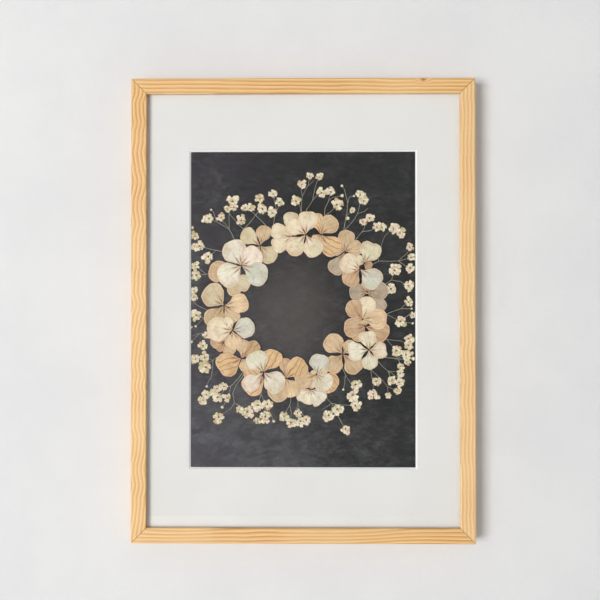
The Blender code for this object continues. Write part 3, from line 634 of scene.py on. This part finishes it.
    # Painted shade along the very edge where sepals overlap, over a real browned edge
    tone = mix_colour(tree, between(tree, parts["Z"], 0.94, 0.98, 0.0, 0.9), tone, stain_and_edge_shade)
    tree.links.new(tone, shader.inputs["Base Color"])
    shader.inputs["Roughness"].default_value = 0.72
    shader.inputs["Specular IOR Level"].default_value = 0.3
    shader.inputs["Sheen Weight"].default_value = 0.08
    relief = math_node(tree, "MULTIPLY_ADD", line, 0.8, math_node(tree, "MULTIPLY_ADD", net, 0.5, cloud))
    relief = math_node(tree, "MULTIPLY_ADD", creased, 2.0, relief)
    bump(tree, shader, math_node(tree, "MULTIPLY_ADD", fleck, 0.6, relief), 0.00022, 0.7)
    return material


sepal_paper = papery("dried_sepal", veins=6.5, claw_strength=0.95, rim_strength=0.3)

# Letter, slot, middle in mm from the wreath's middle, then sepals from the lowest to the topmost:
# (bearing in degrees, reach in mm, width in mm, tone, lift in mm, roughness of the outline)
FLORETS = {
    "a": ("olive", (-32.5, 55), [
        (-125, 15, 13, "olive", 0, 1), (-48, 19.5, 16.5, "olive", 0, 1), (141, 21.5, 15, "olive", 0.05, 1),
        (75, 19, 14, "olive_tan", 0.05, 1)]),
    "b": ("white", (-49.5, 36.5), [
        (215, 25, 23, "ivory", -0.1, 0.8), (115, 25.5, 23, "ivory", 0, 0.8),
        (42, 22.5, 20, "pinkish", 0.05, 0.8), (-28, 26.5, 21.5, "bluish", 0.1, 0.8)]),
    "c": ("tan", (-60.5, 26.5), [
        (60, 12, 12, "cream", 0, 1), (-70, 18, 13, "olive_tan", 0, 1), (-23, 21, 15, "olive", 0, 1),
        (153, 20.5, 20, "tan", 0, 0.8)]),
    "d": ("olive", (-65.5, 0.5), [
        (-54, 19, 14.5, "tan", 0, 1), (8, 23, 17.5, "peach", 0, 1), (235, 24.5, 20, "olive_tan", 0, 1),
        (136, 24, 22, "olive", 0, 1)]),
    "e": ("cream", (-57.5, -22), [
        (-85, 18, 15.5, "peach", 0, 1), (127, 14, 12, "cream", 0, 1), (176, 24, 22.5, "cream", 0, 1),
        (12, 20.5, 19, "bluish", 0, 1)]),
    "f": ("tan", (-66, -33.5), [
        (60, 10, 10, "cream", 0, 1), (225, 9, 10, "brown_tan", 0, 1), (-45, 14, 13, "tan", 0, 1),
        (160, 12.5, 14, "rose_tan", 0, 1)]),
    "g": ("peach", (-49.5, -47.5), [
        (-60, 13, 12, "peach", 0, 1), (80, 17.5, 13, "tan", 0, 1), (43, 21, 13, "brown_tan", 0, 1),
        (203, 24, 22, "orange", 0, 1.3)]),
    "h": ("cream", (-29.5, -60), [
        (58, 23.5, 18.5, "orange", 0, 1.2), (221, 23, 16, "pinkish", 0, 1), (-42, 23.5, 20.5, "ivory", 0, 1),
        (119, 21.5, 20, "ivory", 0, 1)]),
    "i": ("peach", (-29, -65.5), [
        (155, 20, 16, "orange", 0, 1), (210, 21.5, 21, "orange", 0, 1), (-40, 27.5, 21, "olive_tan", 0, 1)]),
    "j": ("peach", (-9, -65.5), [
        (180, 12, 12, "tan", 0, 1), (92, 18.5, 12, "rose_tan", 0, 1), (-64, 18.5, 16.5, "peach", 0, 1),
        (44, 23.5, 19, "orange", 0, 1)]),
    "k": ("cream", (18.5, -62), [
        (201, 21, 17.5, "tan", 0, 1), (-47, 18, 18, "ivory", 0, 1), (76, 19.5, 17.5, "bluish", 0, 1)]),
    "l": ("peach", (22, -64), [
        (170, 10, 10, "peach", 0, 1), (80, 12, 12, "peach", 0, 1), (-35, 18.7, 20, "orange", 0, 1)]),
    "m": ("white", (13, -75.5), [
        (75, 9, 9, "white", 0, 1), (232, 15, 14.5, "white", 0, 2), (-86, 14, 13.5, "white", 0, 2),
        (-47, 17, 15.5, "ivory", 0, 2)]),
    "n": ("tan", (42.5, -43.5), [
        (45, 15.5, 13, "tan", 0, 1), (230, 20.5, 16.5, "tan", 0, 1), (-45, 22.5, 17.5, "tan", 0, 1),
        (131, 22, 18.5, "tan", 0, 1)]),
    "o": ("white", (66, -39.5), [
        (-85, 18.5, 14, "ivory", 0, 2), (93, 17.5, 15.5, "white", 0, 2.2), (187, 20, 16.5, "ivory", 0, 2),
        (-4, 17, 14.5, "white", 0, 2.2)]),
    "p": ("peach", (63, -18.5), [
        (95, 11, 10, "tan", 0, 1), (228, 16.5, 13.5, "orange", 0, 1), (-22, 23, 19, "rose_tan", 0, 1),
        (185, 20, 18, "rose_tan", 0, 1)]),
    "q": ("peach", (60.5, -12), [
        (190, 10, 8, "tan", 0, 1), (2, 22.5, 19, "peach", 0, 1), (73, 21.5, 17, "cream", 0, 1),
        (128, 20.5, 16.5, "rose_tan", 0, 1)]),
    "r": ("grey", (64.5, 13), [
        (90, 10, 12, "peach", 0, 1), (-48, 23.5, 13, "mauve", 0, 1), (3, 19.5, 16.5, "grey", 0, 1),
        (180, 16.5, 16, "grey", 0, 1)]),
    "s": ("cream", (58, 33.5), [
        (-38, 23.5, 19.5, "bluish", 0, 1), (223, 19.5, 16.5, "rose_tan", 0, 1),
        (152, 19.5, 18.5, "cream", 0, 1)]),
    "t": ("cream", (62, 39), [
        (155, 10, 10, "greenish", 0, 1), (-30, 8, 8, "brown_tan", 0, 1),
        (63, 21.5, 19, "greenish", 0, 1.6)]),
    "u": ("tan", (44.5, 49.5), [
        (241, 23.5, 15.5, "mauve", 0, 1), (158, 14, 13, "tan", 0, 1), (20, 16.5, 14.5, "tan", 0, 1),
        (85, 20, 15.5, "tan", 0, 1)]),
    "v": ("peach", (22.5, 65), [
        (235, 11, 11, "tan", 0, 1), (-48, 23.5, 19, "orange", 0, 1), (105, 20, 13, "orange", 0, 1),
        (50, 20.5, 17.5, "olive_tan", 0, 1)]),
    "w": ("cream", (9, 65), [
        (-62, 22.5, 18, "cream", 0, 1), (227, 23.5, 17.5, "cream", 0, 1), (148, 20.5, 15.5, "cream", 0, 1),
        (82, 22, 18, "cream", 0, 1)]),
    "x": ("cream", (-3, 63.5), [
        (211, 21.5, 15.5, "cream", 0, 1), (95, 22.5, 14.5, "greenish", 0, 1),
        (160, 21, 14.5, "cream", 0, 1)]),
}
SEPAL_STEP = 0.045 * MM
LIFT_STEP = 0.06  # mm more that each higher sepal curls up at its tip
CLAW_SHARE = 0.38
SEEDS_PER_FLORET = 100
STAR_SEED = 50
STAR_RAYS = 6
STAR_CORE = 0.75  # a share of the star sheet's own radius, as the rays' lengths are
STAR_RAY_LENGTHS = (1.4, 3.0)


def star_sheet(middle, y, seed):
    """The dried stamens: a low star on a polar grid, whose radius is a core plus thin rays of random length,
    and whose height falls from the middle to the tips."""
    draw = np.random.default_rng(seed)
    points, fans, quads, leaf, tint = disc_sheet(
        middle, y, draw.uniform(0, 360), 1.0 * MM, 2.0 * MM, "heart", seed, rings=3, spokes=36, swell=0.0,
        thick=0.25 * MM,
    )
    offset = points - (middle[0], y, middle[1])
    turn = np.arctan2(offset[:, 2], offset[:, 0])
    nearest_ray = (turn / (2 * np.pi) * STAR_RAYS).round().astype(int) % STAR_RAYS
    length = draw.uniform(*STAR_RAY_LENGTHS, STAR_RAYS)[nearest_ray]
    ray = np.abs(np.cos(turn * STAR_RAYS / 2)) ** 14
    grow = STAR_CORE + (length - STAR_CORE) * ray
    points[:, 0] = middle[0] + offset[:, 0] * grow
    points[:, 2] = middle[1] + offset[:, 2] * grow
    leaf[:, 0] = 0.6
    leaf[:, 1:3] = 0.0
    return points, fans, quads, leaf, tint


for order, (letter, (slot, middle, sepals)) in enumerate(FLORETS.items()):
    node_name = "hydrangea_floret_" + letter
    low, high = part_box(node_name)
    level = (low.y + high.y) / 2
    place = (wreath_middle[0] + middle[0] * MM, wreath_middle[2] + middle[1] * MM)
    sheets = []
    for number, (bearing, reach, width, tone, lift, rough) in enumerate(sepals):
        sheets.append(disc_sheet(
            place, level + (1 - number) * SEPAL_STEP, bearing, reach * MM, width * MM, tone,
            SEEDS_PER_FLORET * order + number, lift + number * LIFT_STEP, rough=rough, claw=CLAW_SHARE,
        ))
    sheets.append(star_sheet(place, level - 3 * SEPAL_STEP, SEEDS_PER_FLORET * order + STAR_SEED))
    floret = join_sheets("floret_" + letter, sheets, sepal_paper)
    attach(floret, "root")
    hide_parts(node_name)


# Gypsophila sprigs: wiry forked stems with small double blossoms of crinkled petals and round buds, pressed
# flat and laid under the florets so that they point out of the ring.
petal_paper = papery("dried_petal", veins=5.0, claw_strength=0.55, rim_strength=0.25)
STEM_SIDES = 6
STEM_STEPS = 6
STEM_BEND = 0.035
FORK_SWELL = 0.45


def stem_tube(run, y, thick, thin, seed):
    """A tube along the straight runs between the points, each run bent a little by a half sine. Its radius
    falls from thick to thin and swells at each fork. Its section is a flattened ring, and each end closes in
    a point."""
    draw = np.random.default_rng(seed)
    path = np.array(run, float) * MM
    t = np.arange(STEM_STEPS)[:, None] / STEM_STEPS
    pieces = []
    for start, end in zip(path, path[1:]):
        across = np.array((start[1] - end[1], end[0] - start[0]))
        bend = across * draw.uniform(-STEM_BEND, STEM_BEND) * np.sin(np.pi * t)
        pieces.append(start + (end - start) * t + bend)
    line = np.concatenate([*pieces, path[-1:]])
    count = len(line)
    share = np.linspace(0, 1, count)
    line = line + draw.normal(0, 0.04 * MM, line.shape) * (share * (1 - share) * 4)[:, None]
    ahead = np.gradient(line, axis=0)
    ahead /= np.linalg.norm(ahead, axis=1)[:, None]
    side = np.stack([-ahead[:, 1], ahead[:, 0]], 1)
    fork = np.exp(-(((np.arange(count)[:, None] - np.arange(0, count, STEM_STEPS)) / 0.7) ** 2)).max(1)
    radius = (thick + (thin - thick) * share) * (1 + FORK_SWELL * fork)
    turn = np.arange(STEM_SIDES) * 2 * np.pi / STEM_SIDES
    out = radius[:, None] * np.cos(turn)
    x = wreath_middle[0] + line[:, 0, None] + side[:, 0, None] * out
    z = wreath_middle[2] + line[:, 1, None] + side[:, 1, None] * out
    depth = y - 0.6 * radius[:, None] * np.sin(turn) * np.ones_like(x)
    rings = np.stack([x, depth, z], 2).reshape(-1, 3)
    tips = line[[0, -1]] + ahead[[0, -1]] * np.array([[-thick], [thin]])
    ends = np.stack([wreath_middle[0] + tips[:, 0], np.full(2, y), wreath_middle[2] + tips[:, 1]], 1)
    points = np.concatenate([rings, ends])
    sides = np.arange(STEM_SIDES)
    after = (sides + 1) % STEM_SIDES
    base = np.arange(count - 1)[:, None] * STEM_SIDES
    quads = np.stack([(base + sides).ravel(), (base + STEM_SIDES + sides).ravel(),
                      (base + STEM_SIDES + after).ravel(), (base + after).ravel()], 1)
    last = (count - 1) * STEM_SIDES
    first_end, last_end = np.full(STEM_SIDES, len(rings)), np.full(STEM_SIDES, len(rings) + 1)
    fans = np.concatenate([np.stack([first_end, sides, after], 1),
                           np.stack([last_end, last + after, last + sides], 1)])
    tint = np.tile(linear(*TONES["stem"]), (len(points), 1))
    tint[:, :3] *= draw.uniform(0.75, 1.15)
    tint[:len(rings), :3] *= (1 - 0.25 * np.repeat(fork, STEM_SIDES))[:, None]
    leaf = np.tile((0.6, 0.3, 0.3, draw.uniform(0, 1), 0), (len(points), 1))
    return points, fans, quads, leaf, tint


# Whorls from the outer to the inner: number of petals, length in blossom radii, breadth as a share of length
WHORLS = ((10, 1.26, 0.56), (9, 0.92, 0.58), (7, 0.58, 0.60))
PETAL_TONES = ("petal", "petal_pink", "petal_tan", "petal_green")
PETAL_SHARES = (0.56, 0.19, 0.12, 0.13)
FLECKS = 6


def blossom_sheets(x, z, radius, heading, y, seed):
    """A double blossom: whorls of petals whose lengths and bearings are drawn at random, longer towards the
    heading, each whorl nearer the front than the last, a calyx where the stem arrives, and a few flecks."""
    draw = np.random.default_rng(seed)
    sheets = []
    place = (wreath_middle[0] + x * MM, wreath_middle[2] + z * MM)
    claw = np.array(place) - 0.18 * radius * MM * np.array((math.cos(heading), math.sin(heading)))
    for whorl, (petals, length, broad) in enumerate(WHORLS):
        start = draw.uniform(0, FULL_TURN)
        for number in range(petals):
            bearing = start + FULL_TURN * number / petals + draw.uniform(-0.35, 0.35)
            stretch = length * draw.uniform(0.70, 1.08) * (1 + 0.20 * math.cos(bearing - heading))
            tone = draw.choice(PETAL_TONES, p=PETAL_SHARES)
            sheets.append(disc_sheet(
                claw, y - (0.10 * whorl + 0.05 * draw.random()) * MM, math.degrees(bearing),
                stretch * radius * MM, broad * stretch * radius * MM, tone, int(draw.integers(1 << 30)),
                draw.uniform(0.0, 0.16), rings=2, spokes=9, rough=3.2, swell=1.2, thick=0.09 * MM,
            ))
    sheets.append(disc_sheet(
        claw, y - 0.02 * MM, math.degrees(heading) + 180, 0.80 * radius * MM, 0.42 * radius * MM, "calyx",
        seed, rings=3, spokes=10, thick=0.3 * MM,
    ))
    for number in range(FLECKS):
        bearing = draw.uniform(0, FULL_TURN)
        away = draw.uniform(0.1, 0.85) * radius * MM
        fleck = claw + away * np.array((math.cos(bearing), math.sin(bearing)))
        sheets.append(disc_sheet(
            fleck, y - 0.33 * MM, draw.uniform(0, 360), 0.24 * radius * MM, 0.10 * radius * MM,
            draw.choice(("calyx", "petal_tan", "petal_green")), seed + number, rings=2, spokes=7,
            thick=0.1 * MM,
        ))
    return sheets


def bud_sheets(x, z, radius, heading, y, seed):
    """A closed bud: a plump teardrop with two calyx lobes at its foot."""
    place = (wreath_middle[0] + x * MM - 0.9 * radius * MM * math.cos(heading),
             wreath_middle[2] + z * MM - 0.9 * radius * MM * math.sin(heading))
    degrees = math.degrees(heading)
    sheets = [disc_sheet(place, y, degrees, 2.1 * radius * MM, 1.7 * radius * MM, "petal", seed, rings=4,
                         spokes=12, thick=0.5 * MM)]
    for side in (-24, 24):
        sheets.append(disc_sheet(place, y - 0.12 * MM, degrees + side, 1.3 * radius * MM, 0.8 * radius * MM,
                                 "calyx", seed + 1, rings=2, spokes=8, thick=0.2 * MM))
    return sheets


# Each sprig, in mm from the wreath's middle: its stems as runs of (x, z) points that start where the stem
# forks off, its blossoms as (x, z, radius), and its buds likewise.
SPRIGS = {
    "sprig_01": (
        [[(-55, 57.5), (-61, 70), (-72.5, 77), (-78, 79)], [(-61, 70), (-61, 78.5), (-60.7, 86), (-58, 92)],
         [(-72.5, 77), (-75.3, 86), (-77, 87.5)], [(-61, 71), (-67.5, 78)]],
        [(-80, 80, 4), (-57.5, 96, 4.8), (-56.6, 90, 3.2), (-62, 88.5, 3), (-68.5, 81, 3.6)],
        [(-84, 77.5, 2), (-77, 87.5, 1.2)]),
    "sprig_02": (
        [[(-44, 62), (-48, 70), (-60.5, 84)], [(-48, 70), (-37, 82.6)]],
        [(-50.2, 78.5, 4.2), (-46.5, 89.5, 3), (-41, 89.5, 3.4)], []),
    "sprig_03": (
        [[(-25.6, 71), (-36.7, 82.6), (-42, 88)], [(-36.7, 82.6), (-31.3, 89), (-33, 96)]],
        [(-30.6, 89, 4.4), (-33, 98, 3.6)], []),
    "sprig_04": (
        [[(-21, 70), (-19.2, 82), (-17.4, 87), (-19.2, 94), (-21, 100)], [(-17.4, 87), (-15, 93)]],
        [(-21, 102.5, 3.4), (-15, 95, 3.6), (-21.8, 85.4, 4.2)], []),
    "sprig_05": (
        [[(4.1, 80), (5, 92), (5.7, 100), (4.6, 107), (5, 110)],
         [(5.7, 100), (9.1, 107), (11, 109.5), (12.4, 117)], [(11, 109.5), (16, 114)],
         [(4.8, 84), (2.7, 95)]],
        [(5.3, 111, 3.6), (12.6, 118.7, 2.8), (0, 96, 4.2)], []),
    "sprig_06": (
        [[(9, 82), (9.5, 88), (15.3, 96.5), (17, 106), (20.3, 116.8)], [(15.3, 96.5), (21, 103)]],
        [(21.5, 117.8, 3.2), (23.5, 103.2, 4.2)], []),
    "sprig_07": (
        [[(26, 77), (26.5, 89.5), (29.7, 96), (33.3, 99), (40, 100)], [(29.5, 95.8), (31.2, 102)],
         [(26.4, 83), (32, 86.3), (37, 91)]],
        [(32, 104.5, 3.9), (37.6, 92.8, 4.6)], [(41.3, 100.4, 1.8)]),
    "sprig_08": (
        [[(43, 64), (44.3, 74), (46.1, 84), (46.6, 92), (48.4, 99), (52, 100)],
         [(46.9, 94), (44, 106), (42, 109)], [(43.5, 68), (48, 73), (56, 84), (58, 92), (58.9, 99)],
         [(56, 84), (62, 86), (65.3, 89)], [(45.9, 82), (50, 86)]],
        [(51.2, 87, 2.5), (58.4, 102, 3.8), (61.6, 96, 3.8)],
        [(46.6, 79.4, 1.9), (42, 109, 1.4), (52.3, 100, 1.2)]),
    "sprig_09": (
        [[(53, 59), (60, 67.6), (63, 74)], [(60, 67.6), (67.6, 68.7), (73, 71)], [(62.4, 73), (66.5, 79)]],
        [(61, 76.7, 3.3), (67, 80.3, 3.8), (74, 72, 3.8), (78.5, 72, 3.4)], []),
    "sprig_10": (
        [[(65.7, 35.6), (75, 41), (93, 41), (100.4, 47.5), (103, 51)],
         [(75, 41), (75, 46), (77.1, 53), (78.7, 59), (81.7, 65), (86, 69)], [(93, 41), (101.5, 34.5)],
         [(93, 41), (102, 43.5)]],
        [(89, 70.5, 4.2), (95, 66.7, 4.1), (103.6, 54, 3.4), (104.6, 44.5, 3.4), (104, 34.5, 3.9)], []),
    "sprig_11": (
        [[(66.7, 13.7), (80.3, 19.6), (86.7, 23.7), (89, 29)], [(86.7, 23.7), (95.4, 22.4), (99, 19)],
         [(79, 19), (85, 17.2)]],
        [(90, 33, 4.8), (102.5, 18.3, 4.2), (86.7, 15.5, 4.5)], []),
    "sprig_12": (
        [[(80, -8), (84, -6.4), (95.4, -2.3), (101, 3)], [(95.4, -2.3), (104, -2.3)],
         [(82, -7), (91.5, -12)], [(95, -13), (105, -15.5)]],
        [(102.5, 4, 3.8), (95, -14, 4.5)], [(104.5, -2.3, 1.1), (105.5, -15.5, 1.2)]),
    "sprig_13": (
        [[(76.7, -29), (82.2, -30), (95, -31.5), (101, -34.3)], [(82.2, -30), (89, -38)]],
        [(102.5, -29.7, 3.9), (102.3, -35.5, 3.7), (91.3, -41, 4.5)], []),
    "sprig_14": (
        [[(71, -46.6), (74.4, -50), (83.5, -59), (92, -64.5)], [(83.5, -59), (85.5, -65)],
         [(83.5, -59), (93, -60)]],
        [(95, -61, 3.5), (87.3, -67.6, 3.7), (94, -69.5, 3.9)], []),
    "sprig_15": (
        [[(65.7, -54.8), (68.5, -58), (78.5, -67), (83, -73), (83.7, -80)],
         [(68, -57.5), (69, -65), (70.3, -71), (70, -78)], [(83, -73), (90, -76)]],
        [(83.5, -81, 2.4), (92, -77, 3.2), (73, -68.5, 3.8), (70, -80.3, 4.2)], [(75, -82.2, 2)]),
    "sprig_16": (
        [[(42, -56), (45, -62.5), (50, -70), (52, -79)], [(45, -62.5), (44.3, -70), (43, -75)]],
        [(54.3, -71.7, 4.8), (51.6, -81.3, 4.4)], [(43, -75.3, 1.2)]),
    "sprig_17": (
        [[(25.6, -80), (28, -83.5), (32, -88), (35, -92)], [(32, -88), (23.7, -94)],
         [(32, -88), (44.7, -89.7), (52, -90)], [(36, -94), (41.5, -106), (44, -110)],
         [(33.2, -89.6), (31, -96.5)]],
        [(37.9, -94, 4.5), (29.5, -99.5, 4.5), (54.5, -90, 4.4), (45.2, -112, 4)], []),
    "sprig_18": (
        [[(-4.6, -80), (-5.5, -89.5), (-9.6, -97)], [(-5.5, -89.5), (-4.1, -97), (-4.6, -104)]],
        [(-11, -100.4, 4), (-4.8, -106, 4.2)], []),
    "sprig_small_01": (
        [[(76.7, -46), (87.6, -47.2), (95, -48), (99, -48.5)], [(90, -47.4), (99, -45)],
         [(93, -48), (95.2, -54)]],
        [(100.4, -43.8, 4.3), (100.9, -50.5, 2.7), (95.2, -55, 3.1)],
        [(105.5, -47.5, 2.0), (105, -42.5, 1.4)]),
    "sprig_small_02": (
        [[(1.8, -80.3), (1.6, -88), (0.5, -94)], [(1.6, -88), (3.4, -96), (4.1, -103)],
         [(3.4, -96), (9, -101)]],
        [(1.4, -97.2, 3.5), (4.1, -105, 4), (9.6, -103.2, 4.2)], []),
    "sprig_small_03": (
        [[(-31.5, -78.5), (-29.2, -86.7), (-27.5, -98)], [(-32, -80), (-32.9, -84), (-35, -90)],
         [(-29.2, -86.7), (-22, -100), (-20.5, -104)]],
        [(-26, -89.5, 4.2), (-27.9, -100.9, 4.8), (-35.2, -90.4, 4.6), (-35.2, -104, 2.8)],
        [(-20.5, -104, 1.5)]),
    "sprig_small_04": (
        [[(-47.5, -59.3), (-49.3, -61.6), (-59.3, -72.6), (-64, -74.5), (-74, -77), (-82, -82)],
         [(-59.3, -72.6), (-61, -80), (-65.5, -90)], [(-64, -74.5), (-69, -81)]],
        [(-65.7, -73.5, 3.6), (-72.1, -75.3, 3.6), (-75.8, -78.2, 3.2), (-81.7, -80.8, 3.7),
         (-85, -85.8, 3.8), (-71.2, -83, 4.6), (-63, -83.5, 3.9)],
        [(-66.8, -91.3, 1.6)]),
    "sprig_small_05": (
        [[(-47.5, -62), (-49.8, -65.7), (-54.3, -71.7), (-57.5, -79.4), (-56.2, -88), (-59.3, -93),
          (-68, -99)],
         [(-56.2, -88), (-51, -90.4)], [(-54, -89), (-46, -94)]],
        [(-70.8, -101.3, 4.6), (-51, -94, 3.2), (-43.8, -96.3, 5)], []),
    "sprig_small_06": (
        [[(-65.7, -42.5), (-75.5, -49.3), (-81, -47)], [(-75.5, -49.3), (-81.3, -53)],
         [(-75.5, -49.3), (-75.8, -56.6), (-77.3, -64.8), (-81, -72)], [(-81, -47), (-84, -38)],
         [(-82, -48), (-90, -48)]],
        [(-83.5, -46.6, 4.4), (-82.6, -55.7, 4.9), (-84.5, -35.6, 3.8), (-91.8, -48, 3.8)],
        [(-81, -72.6, 1.2)]),
    "sprig_small_07": (
        [[(-74.9, -3.7), (-79.4, -5.5), (-87.6, -14.6), (-90.4, -17.3)], [(-84, -10.6), (-89.5, -9)],
         [(-79.4, -4.5), (-87.6, -0.5), (-93, 3.2), (-93, 12)]],
        [(-91.3, -8.2, 4.5), (-92.8, 8.2, 3.3), (-92.8, 14.6, 3.1)], [(-91, -18, 1.2)]),
    "sprig_small_08": (
        [[(-65.7, 49.3), (-73, 51), (-80.3, 52.5), (-86, 54)], [(-73, 51), (-78, 46)],
         [(-82, 52.8), (-90, 61)], [(-90, 61), (-94, 70)]],
        [(-88.5, 54.8, 4.7), (-92.3, 63.9, 3.6), (-93.8, 53.9, 2.2), (-80.3, 44.7, 4.6)],
        [(-94.2, 71.2, 1.5)]),
    "sprig_small_09": (
        [[(-76.7, 29.2), (-84, 28.8), (-89.5, 29.2)], [(-82.2, 29.4), (-87.6, 33.8), (-91, 36)]],
        [(-91.5, 28.3, 4.2), (-92, 37, 3.6)], []),
    "sprig_small_10": (
        [[(-70, -24), (-80, -25.5), (-87.6, -24.6), (-94, -27)], [(-87.6, -24.6), (-94, -31)]],
        [(-81.7, -26.5, 3.2)], [(-94.8, -32, 1.6), (-95, -19, 1.5)]),
    "sprig_small_11": (
        [[(97, -11), (101, -9), (106, -5.5)]],
        [(106.5, -8, 3)], []),
}
STEM_Y = card_low[1] - 0.26 * MM
BLOSSOM_Y = card_low[1] - 0.24 * MM
MAIN_STEM = 0.22 * MM
SIDE_STEM = 0.18 * MM
STEM_TIP = 0.13 * MM
FARTHEST_STEM = 9.0  # mm
SEEDS_PER_SPRIG = 40
STEM_SEED, BUD_SEED, BLOSSOM_SEED = 5000, 7000, 9000


def nearest_heading(x, z, stems):
    """The direction in which the stem that ends nearest a head arrives there, or out of the ring where none
    ends near it."""
    best, heading = FARTHEST_STEM, math.atan2(z, x)
    for run in stems:
        gap = math.hypot(run[-1][0] - x, run[-1][1] - z)
        if gap < best:
            best = gap
            heading = math.atan2(run[-1][1] - run[-2][1], run[-1][0] - run[-2][0])
    return heading


for order, (name, (stems, blossoms, buds)) in enumerate(SPRIGS.items()):
    sheets = []
    first_seed = SEEDS_PER_SPRIG * order
    for number, run in enumerate(stems):
        thick = MAIN_STEM if number == 0 else SIDE_STEM
        sheets.append(stem_tube(run, STEM_Y, thick, STEM_TIP, STEM_SEED + first_seed + number))
    for number, (x, z, radius) in enumerate(blossoms):
        heading = nearest_heading(x, z, stems)
        sheets += blossom_sheets(x, z, radius, heading, BLOSSOM_Y, BLOSSOM_SEED + first_seed + number)
    for number, (x, z, radius) in enumerate(buds):
        heading = nearest_heading(x, z, stems)
        sheets += bud_sheets(x, z, radius, heading, BLOSSOM_Y, BUD_SEED + first_seed + number)
    sprig = join_sheets(name, sheets, petal_paper)
    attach(sprig, "root")
    if not name.startswith("sprig_small"):
        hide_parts("gypsophila_" + name)
